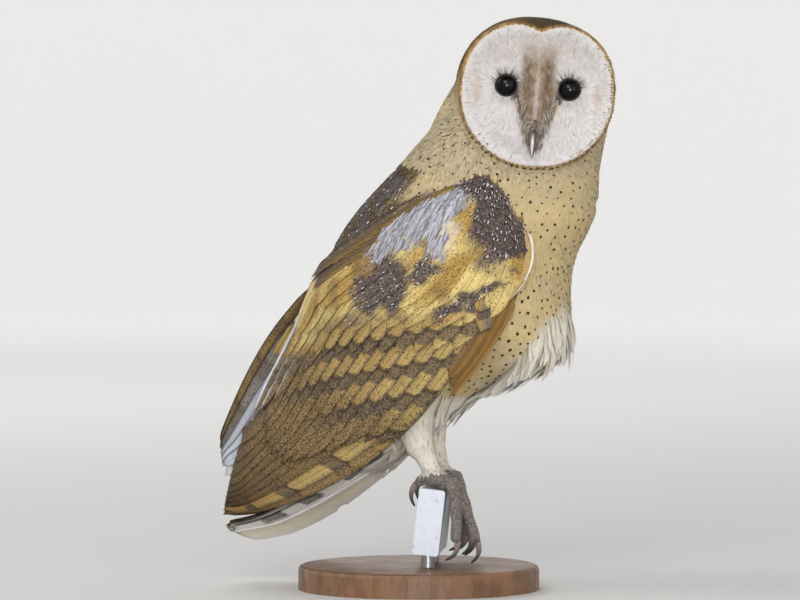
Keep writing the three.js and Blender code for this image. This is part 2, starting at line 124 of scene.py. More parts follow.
class Wiring:
    """Short hands for building a node tree: most calls make a node and return its output."""

    def __init__(self, tree):
        self.tree = tree

    def node(self, kind, **settings):
        made = self.tree.nodes.new(kind)
        for key, value in settings.items():
            setattr(made, key, value)
        return made

    def feed(self, target, value):
        if isinstance(value, bpy.types.NodeSocket):
            self.tree.links.new(value, target)
        else:
            target.default_value = value

    def made_with(self, kind, output, *values, **settings):
        """The named output of a new node whose first inputs are given in order."""
        made = self.node(kind, **settings)
        for target, value in zip(made.inputs, values):
            self.feed(target, value)
        return made.outputs[output]

    def math(self, operation, *values, clamp=False):
        return self.made_with("ShaderNodeMath", 0, *values, operation=operation, use_clamp=clamp)

    def plus(self, a, b, clamp=False):
        return self.math("ADD", a, b, clamp=clamp)

    def minus(self, a, b):
        return self.math("SUBTRACT", a, b)

    def times(self, a, b):
        return self.math("MULTIPLY", a, b)

    def blend(self, share, a, b, way="MIX"):
        made = self.node("ShaderNodeMix", data_type="RGBA", blend_type=way)
        for target, value in zip((made.inputs[0], made.inputs[6], made.inputs[7]), (share, a, b)):
            self.feed(target, value)
        return made.outputs[2]

    def toned(self, colour, tone):
        """A colour made lighter or darker by a grey tone."""
        return self.blend(1.0, colour, self.blend(1.0, PURE_WHITE, tone, "MULTIPLY"), "MULTIPLY")

    def ramped(self, value, low, high, top=1.0):
        ends = (value, low, high, 0.0, top)
        return self.made_with("ShaderNodeMapRange", 0, *ends, interpolation_type="SMOOTHSTEP")

    def noise(self, place, scale, detail=2.0, rough=0.5):
        made = settle(self.node("ShaderNodeTexNoise"), Detail=detail, Roughness=rough)
        self.feed(made.inputs["Vector"], place)
        self.feed(made.inputs["Scale"], scale)
        return made.outputs["Fac"]

    def attribute(self, name, output="Color"):
        return self.node("ShaderNodeAttribute", attribute_name=name).outputs[output]

    def place(self):
        return self.node("ShaderNodeTexCoord").outputs["Object"]

    def stretched(self, place, scale):
        made = settle(self.node("ShaderNodeMapping"), Scale=scale)
        self.feed(made.inputs["Vector"], place)
        return made.outputs["Vector"]

    def press(self, shader, height, depth, strength=1.0, **settings):
        """Presses a height into the shader's normal, depth metres deep."""
        made = settle(self.node("ShaderNodeBump", **settings), Distance=depth, Strength=strength)
        self.feed(made.inputs["Height"], height)
        self.feed(shader.inputs["Normal"], made.outputs["Normal"])


def new_finish(name, **values):
    """A new material with values set on its shader, and the short hands for its tree."""
    material = bpy.data.materials.new(name)
    material.use_nodes = True
    shader = settle(material.node_tree.nodes["Principled BSDF"], **values)
    return material, Wiring(material.node_tree), shader


def new_group(name, kind, *sockets):
    """A new node group. Each socket is its name, its kind, and a default value for an input."""
    tree = bpy.data.node_groups.new(name, kind)
    for label, what, *value in sockets:
        way = "INPUT" if value else "OUTPUT"
        made = tree.interface.new_socket(label, in_out=way, socket_type="NodeSocket" + what)
        if value and value[0] is not None:
            made.default_value = value[0]
    return tree, Wiring(tree)


# %% The sweep and the lamps
def link(name, mesh):
    """A mesh as an object in the scene."""
    piece = bpy.data.objects.new(name, mesh)
    bpy.context.scene.collection.objects.link(piece)
    return piece


def mesh_from(made, name):
    """A mesh with what a bmesh holds, which is freed."""
    mesh = bpy.data.meshes.new(name)
    made.to_mesh(mesh)
    made.free()
    return mesh


def turned(name, profile, around):
    """A mesh turned about Z from (radius, height) points; a point on the axis closes it."""
    made = bmesh.new()
    rings = []
    for radius, height in profile:
        if radius == 0:
            rings.append([made.verts.new((0, 0, height))])
            continue
        angles = np.arange(around) * 2 * np.pi / around
        rings.append([made.verts.new((radius * np.cos(a), radius * np.sin(a), height)) for a in angles])
    for low, high in zip(rings, rings[1:]):
        for i in range(around):
            j = (i + 1) % around
            corners = [low[i % len(low)], low[j % len(low)], high[j % len(high)], high[i % len(high)]]
            made.faces.new(list(dict.fromkeys(corners)))
    mesh = mesh_from(made, name)
    mesh.shade_smooth()
    return mesh


SWEEP_FLAT, SWEEP_BEND, SWEEP_TOP = 5.0, 2.5, 7.0
quarter = np.linspace(0, np.pi / 2, 12)
bend = [(SWEEP_FLAT + SWEEP_BEND * np.sin(a), SWEEP_BEND * (1 - np.cos(a))) for a in quarter]
sweep = link("sweep", turned("sweep", [(0, 0), *bend, (SWEEP_FLAT + SWEEP_BEND, SWEEP_TOP)], 96))
WALL_GLOW, GLOW_FROM, GLOW_TO = 0.42, 0.5, 4.6


def sweep_paper():
    """Matt pale paper. Its wall is lit from within, as the lamps reach only the floor."""
    paper = rgba(srgb(205, 204, 202))
    material, w, shader = new_finish("sweep_paper", Base_Color=paper, Roughness=0.9)
    parts = w.node("ShaderNodeSeparateXYZ")
    w.feed(parts.inputs[0], w.place())
    flat = w.made_with("ShaderNodeCombineXYZ", 0, parts.outputs["X"], parts.outputs["Y"])
    away = w.made_with("ShaderNodeVectorMath", "Value", flat, operation="LENGTH")
    w.feed(shader.inputs["Emission Color"], w.ramped(away, GLOW_FROM, GLOW_TO, WALL_GLOW))
    settle(shader, Emission_Strength=1.0)
    return material


sweep.data.materials.append(sweep_paper())


def softbox(name, azimuth, elevation, distance, size, watts):
    """A square area lamp aimed at the bird from an azimuth and elevation in degrees."""
    lamp_data = bpy.data.lights.new(name, "AREA")
    lamp_data.size = size
    lamp_data.energy = watts
    aimed(name, lamp_data, toward(azimuth, elevation), distance)


# Each lamp's azimuth and elevation, its distance and size in metres, and its watts.
LAMPS = {
    "key": (-76, 27, 2.4, 0.9, 16),
    "fill": (-38, 8, 3.0, 1.8, 12),
    "front": (-63, 3, 2.9, 0.6, 27),
    "back_left": (130, 40, 2.8, 1.4, 22),
    "back_right": (215, 35, 2.8, 1.4, 16),
}
for name, values in LAMPS.items():
    softbox(name, *values)
world = bpy.data.worlds.new("studio")
bpy.context.scene.world = world
world.use_nodes = True
settle(world.node_tree.nodes["Background"], Color=rgba(srgb(235, 238, 243)), Strength=0.34)
bpy.context.scene.view_settings.view_transform = "Standard"
print(len(LAMPS), "lamps and a sweep", 2 * (SWEEP_FLAT + SWEEP_BEND), "m across")

# %% [markdown]
# ## The tools of the bench
#
# A coat has tens of thousands of feathers, so everything here works on arrays: a row of numbers
# for each feather. These helpers ramp, mix and wave numbers, run a smooth line through a few
# points, and turn arrays of corners into a mesh with its colours and maps.


# %% Arrays
def unit(v):
    """Vectors made one long."""
    return v / np.maximum(np.linalg.norm(v, axis=-1, keepdims=True), 1e-12)


def ramp(low, high, x):
    """A smooth step from 0 at low to 1 at high, which may lie either way round."""
    t = np.clip((x - low) / (high - low), 0, 1)
    return t * t * (3 - 2 * t)


def bump(x, width):
    """A smooth hill: 1 at x = 0, and almost 0 at twice its width."""
    return np.exp(-((x / width) ** 2))


def mix(a, b, share):
    """Vectors or colours a with a share of b, the share given for each point."""
    share = np.asarray(share)[..., None]
    return a * (1 - share) + b * share


def lain(way, normals):
    """Directions turned until they lie flat on a surface with these normals."""
    return unit(way - normals * (way * normals).sum(1, keepdims=True))


def waves(points, size, seed):
    """A soft random field from 0 to 1 that changes over about size metres."""
    rng = np.random.default_rng(seed)
    total = np.zeros(len(points))
    for _ in range(9):
        way = unit(rng.normal(size=3)) * 2 * np.pi / (size * rng.uniform(0.8, 2.2))
        total += np.sin(points @ way + rng.uniform(0, 2 * np.pi))
    return np.clip(0.5 + total / 9, 0, 1)


def smooth_line(points, t):
    """Points at shares t of a centripetal Catmull-Rom line, as the frame's own curves run."""
    p = np.asarray(points, float)
    x = np.clip(t, 0, 1) * (len(p) - 1)
    i = np.minimum(x.astype(int), len(p) - 2)
    w = (x - i)[:, None]
    q = np.vstack([2 * p[0] - p[1], p, 2 * p[-1] - p[-2]])
    p0, p1, p2, p3 = q[i], q[i + 1], q[i + 2], q[i + 3]
    d0, d1, d2 = (
        np.maximum(np.linalg.norm(b - a, axis=1), 1e-8)[:, None] ** 0.5
        for a, b in ((p0, p1), (p1, p2), (p2, p3))
    )
    leave = ((p1 - p0) / d0 - (p2 - p0) / (d0 + d1) + (p2 - p1) / d1) * d1
    reach = ((p2 - p1) / d1 - (p3 - p1) / (d1 + d2) + (p3 - p2) / d2) * d1
    squared = -3 * p1 + 3 * p2 - 2 * leave - reach
    return p1 + leave * w + squared * w**2 + (2 * p1 - 2 * p2 + leave + reach) * w**3


def grid_of(first, second):
    """All pairs of two rows of numbers, as two flat arrays."""
    return (g.ravel() for g in np.meshgrid(first, second, indexing="ij"))


# %% Meshes
def corners_of(mesh):
    co = np.zeros(len(mesh.vertices) * 3, np.float32)
    mesh.vertices.foreach_get("co", co)
    return co.reshape(-1, 3).astype(float)


def triangles_of(mesh):
    mesh.calc_loop_triangles()
    tris = np.zeros(len(mesh.loop_triangles) * 3, np.int32)
    mesh.loop_triangles.foreach_get("vertices", tris)
    return tris.reshape(-1, 3)


def mesh_of(name, co, tris, normals=None, maps=None, sheets=None, **attributes):
    """A mesh from arrays. maps are UV maps and attributes are values, both given per corner point.

    normals are soft normals for the points, and sheets says for each face whether it looks out (1)
    or is the underside of a thin leaf (-1), which turns its normals round.
    """
    mesh = bpy.data.meshes.new(name)
    mesh.vertices.add(len(co))
    mesh.vertices.foreach_set("co", np.asarray(co, np.float32).ravel())
    mesh.loops.add(tris.size)
    mesh.loops.foreach_set("vertex_index", tris.astype(np.int32).ravel())
    mesh.polygons.add(len(tris))
    mesh.polygons.foreach_set("loop_start", np.arange(0, tris.size, 3, dtype=np.int32))
    mesh.update(calc_edges=True)
    mesh.shade_smooth()
    for label, values in attributes.items():
        if values.ndim == 2:
            filled = np.hstack([values, np.ones((len(values), 1))]).astype(np.float32)
            made = mesh.attributes.new(label, "FLOAT_COLOR", "POINT")
            made.data.foreach_set("color", filled.ravel())
        else:
            made = mesh.attributes.new(label, "FLOAT", "POINT")
            made.data.foreach_set("value", values.astype(np.float32))
    for label, uv in (maps or {}).items():
        layer = mesh.uv_layers.new(name=label)
        layer.uv.foreach_set("vector", uv[tris.ravel()].astype(np.float32).ravel())
    if sheets is not None:
        mesh.normals_split_custom_set(normals[tris.ravel()] * np.repeat(sheets, 3)[:, None])
    elif normals is not None:
        mesh.normals_split_custom_set_from_vertices(normals)
    return mesh


def piece_of(name, mesh, material, slot, *replaced):
    """A finished piece: linked, given its material, and riding on the frame. slot is not used."""
    piece = link(name, mesh)
    if material is not None:
        mesh.materials.append(material)
    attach(piece, "root")
    if replaced:
        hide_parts(*replaced)
    mesh.calc_loop_triangles()
    print(f"{name}: {len(mesh.loop_triangles)} triangles")
    return piece


def modified(mesh, kind, inputs=(), **settings):
    """A copy of a mesh with one modifier applied; inputs are those of its node group."""
    holder = link("holder", mesh)
    change = holder.modifiers.new("change", kind)
    for key, value in settings.items():
        setattr(change, key, value)
    for key, value in dict(inputs).items():
        change[key] = value
    depsgraph = bpy.context.evaluated_depsgraph_get()
    made = bpy.data.meshes.new_from_object(holder.evaluated_get(depsgraph), depsgraph=depsgraph)
    bpy.data.objects.remove(holder)
    return made


def merged(node_name):
    """A frame node as one closed surface, its doubled corners joined."""
    made = bmesh.new()
    made.from_mesh(frame["nodes"][node_name].data)
    bmesh.ops.remove_doubles(made, verts=made.verts, dist=1e-6)
    bmesh.ops.recalc_face_normals(made, faces=made.faces)
    return made


def tube_faces(rings, around, closed=False):
    """The triangles between rings of points; closed joins the last ring to the first as well."""
    r, c = grid_of(np.arange(rings if closed else rings - 1), np.arange(around))
    after, beside = (r + 1) % rings * around, (c + 1) % around
    a, b = r * around + c, r * around + beside
    return np.stack([a, b, after + beside, a, after + beside, after + c], 1).reshape(-1, 3)


def face_normals(co, tris):
    """The normal of each triangle, twice its area long."""
    return np.cross(co[tris[:, 1]] - co[tris[:, 0]], co[tris[:, 2]] - co[tris[:, 0]])


def tree_of(co, tris):
    return BVHTree.FromPolygons(co.tolist(), tris.tolist())


def numbered(parts):
    """The triangles of many parts, numbered on from one part to the next."""
    starts = np.cumsum([0] + [len(p["co"]) for p in parts[:-1]])
    return np.concatenate([p["tris"] + start for p, start in zip(parts, starts)])


def surface_of(*meshes):
    """One surface of several meshes, for finding places on it."""
    parts = [{"co": corners_of(mesh), "tris": triangles_of(mesh)} for mesh in meshes]
    return tree_of(np.concatenate([p["co"] for p in parts]), numbered(parts))


def nearest_on(tree, points):
    """The nearest point of a surface to each point, with its normal and face."""
    found = [tree.find_nearest(p) for p in points.tolist()]
    where = np.array([f[0] for f in found], float)
    facing = np.array([f[1] for f in found], float)
    return where, facing, np.array([f[2] for f in found])


def hits_of(tree, starts, ways, reach):
    """Where rays first meet a surface, its normal there, and which of the rays meet it."""
    ways = np.broadcast_to(ways, starts.shape).tolist()
    found = [tree.ray_cast(p, way, reach)[:2] for p, way in zip(starts.tolist(), ways)]
    good = np.array([where is not None for where, _ in found])
    where, facing = (np.array([f[k] for f in found if f[0] is not None], float) for k in (0, 1))
    return where, facing, good


def finder_of(points):
    """A finder that gives the nearest of some points to any place."""
    finder = KDTree(len(points))
    for i, p in enumerate(points):
        finder.insert(p, i)
    finder.balance()
    return finder


# %% [markdown]
# ## One skin under everything
#
# A real mount has one tanned skin, drawn over the body and the legs. The frame's flesh solids are
# parted by thin cuts, so copies of them are grown a hair, joined and remeshed into one closed form
# called the hull: the outline out to the feather tips. The skin is the hull drawn in by the depth
# of the coat, which is thick on the breast, thin on the face and nothing on the scaly feet.

# %% The hull
TOES = ("inner", "middle", "outer", "hind")
FLESH = ["head", "neck", "trunk"]
for side in SIDES:
    FLESH += [f"wing_{side}_coverts", f"wing_{side}_secondaries", f"thigh_{side}", f"shank_{side}"]
    FLESH += [f"foot_{side}"] + [f"toe_{side}_{toe}" for toe in TOES]
GROW = 0.25 * MM
EYE_GROW = 0.9 * MM  # enough to close the gap round each eyeball
VOXEL = 1.7 * MM


def joined_flesh():
    """All the flesh solids and the eyes in one mesh, each grown a hair."""
    made = bmesh.new()
    for name in FLESH + ["eye_right", "eye_left"]:
        part = merged(name)
        part.normal_update()
        for v in part.verts:
            v.co += v.normal * (EYE_GROW if name.startswith("eye") else GROW)
        mesh = mesh_from(part, name)
        made.from_mesh(mesh)
        bpy.data.meshes.remove(mesh)
    return mesh_from(made, "flesh")


hull_mesh = modified(joined_flesh(), "REMESH", mode="VOXEL", voxel_size=VOXEL)
print("hull:", len(hull_mesh.polygons), "faces")

# %% [markdown]
# ## Where on the bird is this?
#
# Feathers differ by their place, so every point has to know its part of the body, and the way the
# feathers lie there. The part comes from the nearest frame solid. The head and the wings have
# frames of their own: the face is measured across, up and forward from the head's centre, and a
# folded wing is measured by its length from bend to tip and its share from lower to upper edge.

# %% Parts of the body
PARTS = ["head", "neck", "trunk", "wing", "thigh", "shank", "foot", "tail"]
part_meshes, part_index = [], []
for node_name, node in frame["nodes"].items():
    kind = node_name.split("_")[0].replace("toe", "foot")
    if kind in PARTS:
        part_meshes.append(node.data)
        part_index += [PARTS.index(kind)] * len(triangles_of(node.data))
parts_tree = surface_of(*part_meshes)
part_index = np.array(part_index)
print(len(part_meshes), "frame solids in", len(PARTS), "parts")


def parts_at(points):
    return part_index[nearest_on(parts_tree, points)[2]]


def is_part(parts, *names):
    return np.isin(parts, [PARTS.index(n) for n in names])


# %% The head's own frame
HEAD_AT = Vector((0.0002, -0.0753, 0.2858))
HEAD_TURN, HEAD_ROLL = np.radians(-69), np.radians(4.1)
HEAD_AXES = np.array(Matrix.Rotation(HEAD_TURN, 3, "Z") @ Matrix.Rotation(HEAD_ROLL, 3, "Y"))
INTO_FACE = HEAD_AXES[:, 1]
FACE_BACK = -8 * MM  # the disc is in front of this, in the head's own frame
EYE_OUT, EYE_UP, EYE_FORWARD, EYE_RADIUS = 18 * MM, 3.7 * MM, 12 * MM, 8.6 * MM
LID_OPENING = 5.6 * MM


def to_head(points):
    """Across (the bird's left is +), forward (the face is -) and up, from the head's centre."""
    return (points - np.array(HEAD_AT)) @ HEAD_AXES


def from_head(local):
    return local @ HEAD_AXES.T + np.array(HEAD_AT)


def across_face(x, z, forward=0.0):
    """Points or directions in the head's frame from their parts."""
    return np.stack(np.broadcast_arrays(x, forward, z), 1)


DISC_HALF, DISC_ABOVE, DISC_BELOW, DISC_NOTCH = 0.0434, 0.0408, 0.0418, 0.0055


def disc_rim(x, z):
    """How far the disc's heart-shaped rim is from its centre, in the direction of x and z."""
    length = np.maximum(np.hypot(x, z), 1e-9)
    c, s = z / length, np.abs(x) / length
    power = np.where(c > 0, 2.35, 2.05)
    tall = np.where(c > 0, DISC_ABOVE, DISC_BELOW)
    r = ((s / DISC_HALF) ** power + (np.abs(c) / tall) ** power) ** (-1 / power)
    return r - DISC_NOTCH * np.exp(-((np.arctan2(s, c) / 0.24) ** 1.6))


def disc_share(local):
    """0 at the middle of the facial disc, 1 at its rim, more beyond it."""
    return np.hypot(local[:, 0], local[:, 2]) / disc_rim(local[:, 0], local[:, 2])


# %% The wing's own frame
WING_LOWER = MM * np.array(
    [(-36, -68, 236), (-37, -85, 207), (-43, -81, 172), (-50, -58, 139)]
    + [(-49, -29, 108), (-38, 20, 71), (-22, 82, 43.5), (-9, 124, 38.5)]
)
WING_UPPER = MM * np.array(
    [(-40, -56, 239), (-57, -24, 226), (-56, 10, 207), (-33, 53, 183)]
    + [(-15, 78, 149), (-10, 100, 112), (-7, 121, 67), (-6, 127.5, 46)]
)
WING_SIZES = MM * np.array(
    [(4, 10), (11, 17), (14, 18), (15, 18), (14, 16), (9, 10), (5, 6), (2, 3.4)]
)
FAR_LIFT = MM * np.array([4, 10, 22])
FAR_HUMP = 3 * MM


def on_wing(t, s, side, lift=0.0):
    """Points on a folded wing's outer face, at shares t of its length and s from its lower edge."""
    t, s, lift = np.broadcast_arrays(*(np.asarray(v, float) for v in (t, s, lift)))
    shape, t, s, lift = t.shape, t.ravel(), s.ravel()[:, None], lift.ravel()[:, None]
    low, high, size = (smooth_line(line, t) for line in (WING_LOWER, WING_UPPER, WING_SIZES))
    step = 1e-3
    edges = (WING_LOWER, WING_UPPER)
    ahead = sum(smooth_line(line, t + step) - smooth_line(line, t - step) for line in edges)
    out = unit(np.cross(unit(ahead), unit(high - low)))
    out = np.where(out[:, :1] > 0, -out, out)
    inside = np.clip(s * (1 - s), 0, 1)
    stand = size[:, :1] * 4 * inside - size[:, 1:] * 0.27 + size[:, 1:] * np.sqrt(inside)
    p = low * (1 - s) + high * s + out * (stand + lift)
    if side == "left":
        p = p * (-1, 1, 1) + FAR_LIFT * t[:, None]
        p[:, 1] += FAR_HUMP * np.sin(np.pi * t)
    return p.reshape(*shape, 3)


WING_GRID_T, WING_GRID_S = grid_of(np.linspace(0, 1, 90), np.linspace(0, 1, 40))
wing_finders = {side: finder_of(on_wing(WING_GRID_T, WING_GRID_S, side)) for side in SIDES}


def in_wing(points):
    """The wing's t and s at points near either wing's outer face, and the distance to it."""
    found = [wing_finders["right" if p[0] < 0 else "left"].find(p)[1:] for p in points.tolist()]
    index = np.array([f[0] for f in found])
    return WING_GRID_T[index], WING_GRID_S[index], np.array([f[1] for f in found])


# %% The mounds round the eyes
MOUND_RADIUS = 12.5 * MM
POCKET_EDGE, POCKET_DEPTH = 0.4 * MM, 1.4 * MM  # the hollow behind the eyeball's front
LID_LEVEL = EYE_FORWARD + np.sqrt(EYE_RADIUS**2 - LID_OPENING**2)


def eye_mounds(co):
    """The outline rises to the lids round each eye, and passes behind the eyeball's front."""
    local = to_head(co)
    for sign in SIDES.values():
        r = np.hypot(local[:, 0] - sign * EYE_OUT, local[:, 2] - EYE_UP)
        ahead = -local[:, 1]
        ball = EYE_FORWARD + np.sqrt(np.clip(EYE_RADIUS**2 - r**2, 0, None))
        share = ramp(LID_OPENING, MOUND_RADIUS, r)
        slope = LID_LEVEL * (1 - share) + ahead * share
        raised = np.where(r < LID_OPENING + POCKET_EDGE, ball - POCKET_DEPTH, slope)
        local[:, 1] = np.where((r < MOUND_RADIUS) & (ahead > 0), -raised, local[:, 1])
    return from_head(local)


# %% The hull's surface, and the lie of the feathers on it
hull_co, hull_tris = eye_mounds(corners_of(hull_mesh)), triangles_of(hull_mesh)
hull_tree = tree_of(hull_co, hull_tris)
SPINE_TOP = MM * np.array([0, -66, 285])
SPINE_LEAN = np.radians(30)
SPINE_AHEAD = np.array([0, np.sin(SPINE_LEAN), -np.cos(SPINE_LEAN)])
SPINE_FRONT = np.array([0, -np.cos(SPINE_LEAN), -np.sin(SPINE_LEAN)])
DOWN = np.array([0, 0, -1.0])


def vertex_normals(co, tris):
    flat = face_normals(co, tris)
    total = np.zeros_like(co)
    for corner in range(3):
        for axis in range(3):
            total[:, axis] += np.bincount(tris[:, corner], flat[:, axis], len(co))
    return unit(total)


hull_normals = vertex_normals(hull_co, hull_tris)


def neighbour_mean(values, tris, rounds):
    """Values at the corners of a mesh, each turned towards the mean of its neighbours."""
    a = np.concatenate([tris[:, 0], tris[:, 1], tris[:, 2]])
    b = np.concatenate([tris[:, 1], tris[:, 2], tris[:, 0]])
    count = np.maximum(np.bincount(a, minlength=len(values)), 1)
    flat = values.reshape(len(values), -1)
    for _ in range(rounds):
        mean = np.stack([np.bincount(a, c[b], len(values)) for c in flat.T], 1) / count[:, None]
        flat = 0.5 * flat + 0.5 * mean
    return flat.reshape(values.shape)


soft_normals = unit(neighbour_mean(hull_normals, hull_tris, 3))


def on_ground(points, ground=None):
    """The nearest points of the hull, or of another surface laid over it, and the smooth normals."""
    where = nearest_on(ground or hull_tree, points)[0]
    corners = hull_tris[nearest_on(hull_tree, where)[2]]
    near = 1 / (np.linalg.norm(hull_co[corners] - where[:, None], axis=2, keepdims=True) + 1e-5)
    return where, unit((soft_normals[corners] * near).sum(1))


def lie_at(points, normals, parts):
    """The way feathers point at each place: from the bill backwards and from the neck down."""
    back = ramp(0.0, 0.05, points[:, 1] - np.interp(points[:, 2], [0.1, 0.24], [0.02, -0.06]))
    hang = ramp(0.17, 0.11, points[:, 2]) * (1 - back)
    way = mix(SPINE_AHEAD, np.array([0.0, 0.22, -1.0]), hang)
    local = to_head(points)
    round_head = unit(across_face(local[:, 0] * 0.5, local[:, 2] * 0.3 - 0.012, 0.035))
    low = ramp(-0.005, -0.035, local[:, 2])
    round_head = mix(round_head, unit(np.array([0.0, 0.4, -1.0])), low)
    on_head = is_part(parts, "head")
    way[on_head] = (round_head @ HEAD_AXES.T)[on_head]
    way[is_part(parts, "thigh", "shank", "foot")] = [0.0, -0.12, -1.0]
    wing = np.flatnonzero(is_part(parts, "wing"))
    if len(wing):
        t, s, _ = in_wing(points[wing])
        left = points[wing, 0] > 0
        for side, here in (("right", ~left), ("left", left)):
            behind, ahead = t[here] - 0.02, np.minimum(t[here] + 0.02, 1)
            step = on_wing(ahead, s[here], side) - on_wing(behind, s[here], side)
            way[wing[here]] = unit(step)
    return lain(way, normals)


# %% The skin
COAT_DEPTH = MM * np.array([2.2, 2.4, 2.6, 2.4, 2.2, 0.9, 0.0, 1.0])  # in the order of PARTS
FACE_DEPTH, UPPER_SHANK_DEPTH = 0.7 * MM, 1.5 * MM
HOCK, FEATHERED_TO, SCALY_TO = 88 * MM, 70 * MM, 84 * MM  # heights on the legs

hull_parts = parts_at(hull_co)
hull_local = to_head(hull_co)
depth = COAT_DEPTH[hull_parts]
in_face = is_part(hull_parts, "head") & (disc_share(hull_local) < 1.0) & (hull_local[:, 1] < FACE_BACK)
depth[in_face] = FACE_DEPTH
high_shank = is_part(hull_parts, "shank") & (hull_co[:, 2] > HOCK)
depth[high_shank] = UPPER_SHANK_DEPTH
depth = neighbour_mean(depth, hull_tris, 5)
depth[is_part(hull_parts, "foot")] *= 0.2
skin_co = hull_co.copy()
DRAW_STEPS = 5
for _ in range(DRAW_STEPS):
    skin_co -= vertex_normals(skin_co, hull_tris) * (depth / DRAW_STEPS)[:, None]
    eased = neighbour_mean(skin_co, hull_tris, 2)
    skin_co = mix(skin_co, eased, np.clip(depth / (3 * MM), 0, 1))
print("skin drawn in by up to", round(float(depth.max() / MM), 1), "mm")

# %% [markdown]
# ## The markings
#
# The colours of a barn owl are few: white and grey on the face, gold and buff on the body, and a
# fine grey scribble, called vermiculation, over the gold of the wings and back. One function gives
# them for any point, so the skin and every feather over it carry the same markings. Each marking
# is a soft ellipse or a ramp in the head's, the wing's or the body's own measures.

# %% Colours
WHITE = srgb(202, 197, 194)
SNOW = srgb(228, 228, 236)
ASH = srgb(186, 178, 174)
RIDGE = srgb(140, 120, 98)
EYE_BROWN = srgb(74, 54, 38)
SMUDGE = srgb(182, 156, 132)
RIM_GOLD = srgb(166, 134, 80)
RIM_RUST = srgb(124, 92, 54)
RIM_DARK = srgb(52, 36, 28)
CROWN = srgb(44, 32, 15)
CREAM = srgb(171, 156, 126)
BUFF = srgb(192, 170, 122)
GOLD = srgb(178, 144, 78)
STRAW = srgb(210, 187, 122)
FLUFF = srgb(208, 199, 180)
GREY_DOWN = srgb(142, 140, 150)
SCRIBBLE = srgb(92, 82, 84)
RUST = srgb(110, 76, 38)
DUSK = srgb(124, 102, 66)
DOWN_TIP = srgb(226, 220, 209)
MANTLE = srgb(92, 73, 44)


def spot(a, b, at, half, turn=0.0, soft=0.18):
    """A soft ellipse: 1 inside, 0 outside, with its middle, half sizes and turn in degrees."""
    c, s = np.cos(np.radians(turn)), np.sin(np.radians(turn))
    x, y = a - at[0], b - at[1]
    r = np.hypot((x * c + y * s) / half[0], (y * c - x * s) / half[1])
    return ramp(1 + soft, 1 - soft, r)


# How far the bridge of feathers over the bill reaches to each side, by height, in millimetres.
BRIDGE_EDGE = ([-37, -28, -14, -3, 2], [0.6, 2.9, 6.6, 11.2, 12.0])


def base_noise(points):
    """The unevenness that all the markings share."""
    return waves(points, 0.014, 21)


def face_marks(local, share, noise):
    """The disc: white and ash, the brown bridge over the bill, and the dark corners of the eyes."""
    x, z = np.abs(local[:, 0]) / MM, local[:, 2] / MM
    colour = mix(WHITE, SNOW, 0.16 * ramp(0.5, 0.85, share) * ramp(8, -18, z))
    colour = mix(colour, ASH, 0.75 * ramp(8, 26, z) * ramp(1.0, 0.6, share) * (0.5 + noise))
    half_wide = np.interp(z, [-30, -13, -8, 1, 10, 24, 33], [3.0, 5.2, 7.6, 11.0, 8.6, 9.5, 12])
    ridge = ramp(1.3, 0.75, x / half_wide) * ramp(36, 12, z) * ramp(-36, -26, z)
    fine = waves(local, 0.0035, 24)
    colour = mix(colour, RIDGE, ridge * (0.76 + 0.45 * fine - 0.45 * bump(x, 1.1)))
    streak = bump(x - 5.0 - 2 * (fine - 0.5), 1.8) * ramp(28, 14, z) * ramp(-6, 4, z)
    colour = mix(colour, EYE_BROWN, (0.05 + 0.5 * fine) * streak)
    colour = mix(colour, SMUDGE, 0.42 * spot(x, z, (34.5, -1), (2.0, 9), 0, 0.4))
    dark_edge = bump(x - np.interp(z, *BRIDGE_EDGE) - 2.2 * (fine - 0.5), 1.9)
    dark_edge = dark_edge * ramp(-38, -30, z) * ramp(3, -3, z)
    colour = mix(colour, EYE_BROWN, (0.5 + 0.5 * fine) * dark_edge)
    colour = mix(colour, RIM_DARK, 0.8 * spot(x, z, (12.2, -1.8), (1.9, 3.6), 24))
    colour = mix(colour, RIM_GOLD, 0.5 * spot(x, z, (10.2, -9.5), (1.8, 3.5), -30))
    return mix(colour, EYE_BROWN, 0.6 * ramp(7.6, 6.6, np.hypot(x - EYE_OUT / MM, z - EYE_UP / MM)))


def head_marks(points, noise):
    """The disc within its rim, the gold and rust rim, and the crown and nape behind it."""
    local = to_head(points)
    share = disc_share(local)
    colour = face_marks(local, share, noise)
    top = ramp(-0.02, 0.02, local[:, 2])
    rim = mix(mix(RIM_GOLD, RIM_RUST, noise), STRAW, 0.25 * top)
    rim = mix(rim, RIM_DARK, ramp(-0.015, -0.036, local[:, 2]) * 0.6)
    behind = local[:, 1] > FACE_BACK
    outside = np.where(behind, 1.0, ramp(0.965, 0.99, share))
    colour = mix(colour, rim, outside)
    skull = mix(CROWN, GOLD, 0.25 * noise)
    skull = mix(skull, CREAM, ramp(0.016, -0.012, local[:, 2]))
    away = np.where(behind, 1.0, ramp(1.0, 1.07, share))
    colour = mix(colour, skull, away)
    fleck = away * (0.05 + 0.3 * top)
    return colour, fleck


WING_LENGTH = 300
WING_WIDTHS = (np.arange(11) / 10, [20, 66, 96, 116, 131, 135, 127, 104, 73, 40, 10])
# Patches on the wing: middle, half sizes and turn, in millimetres along the wing and up from its
# middle line. The dark ones are scribbled.
SILVER_PATCH, SNOW_PATCH = ((54, 27), (37, 11), 24), ((60, 10), (14, 6), -55)
RUST_PATCH = ((128, -60), (34, 9), 8)
DARK_PATCHES = [
    ((13, 8), (20, 17), 0),
    ((34, -13), (32, 16), -24),
    ((52, -33), (20, 12), 8),
    ((107, 14.5), (26, 16), -28),
    ((87, 1), (7.5, 5), 20),
    ((99, -33), (12, 7), 20),
    ((84, -41), (9, 6), 10),
]


def wing_measures(t, s):
    """Millimetres along the wing, and up from its middle line."""
    return t * WING_LENGTH, (s - 0.5) * np.interp(t, *WING_WIDTHS)


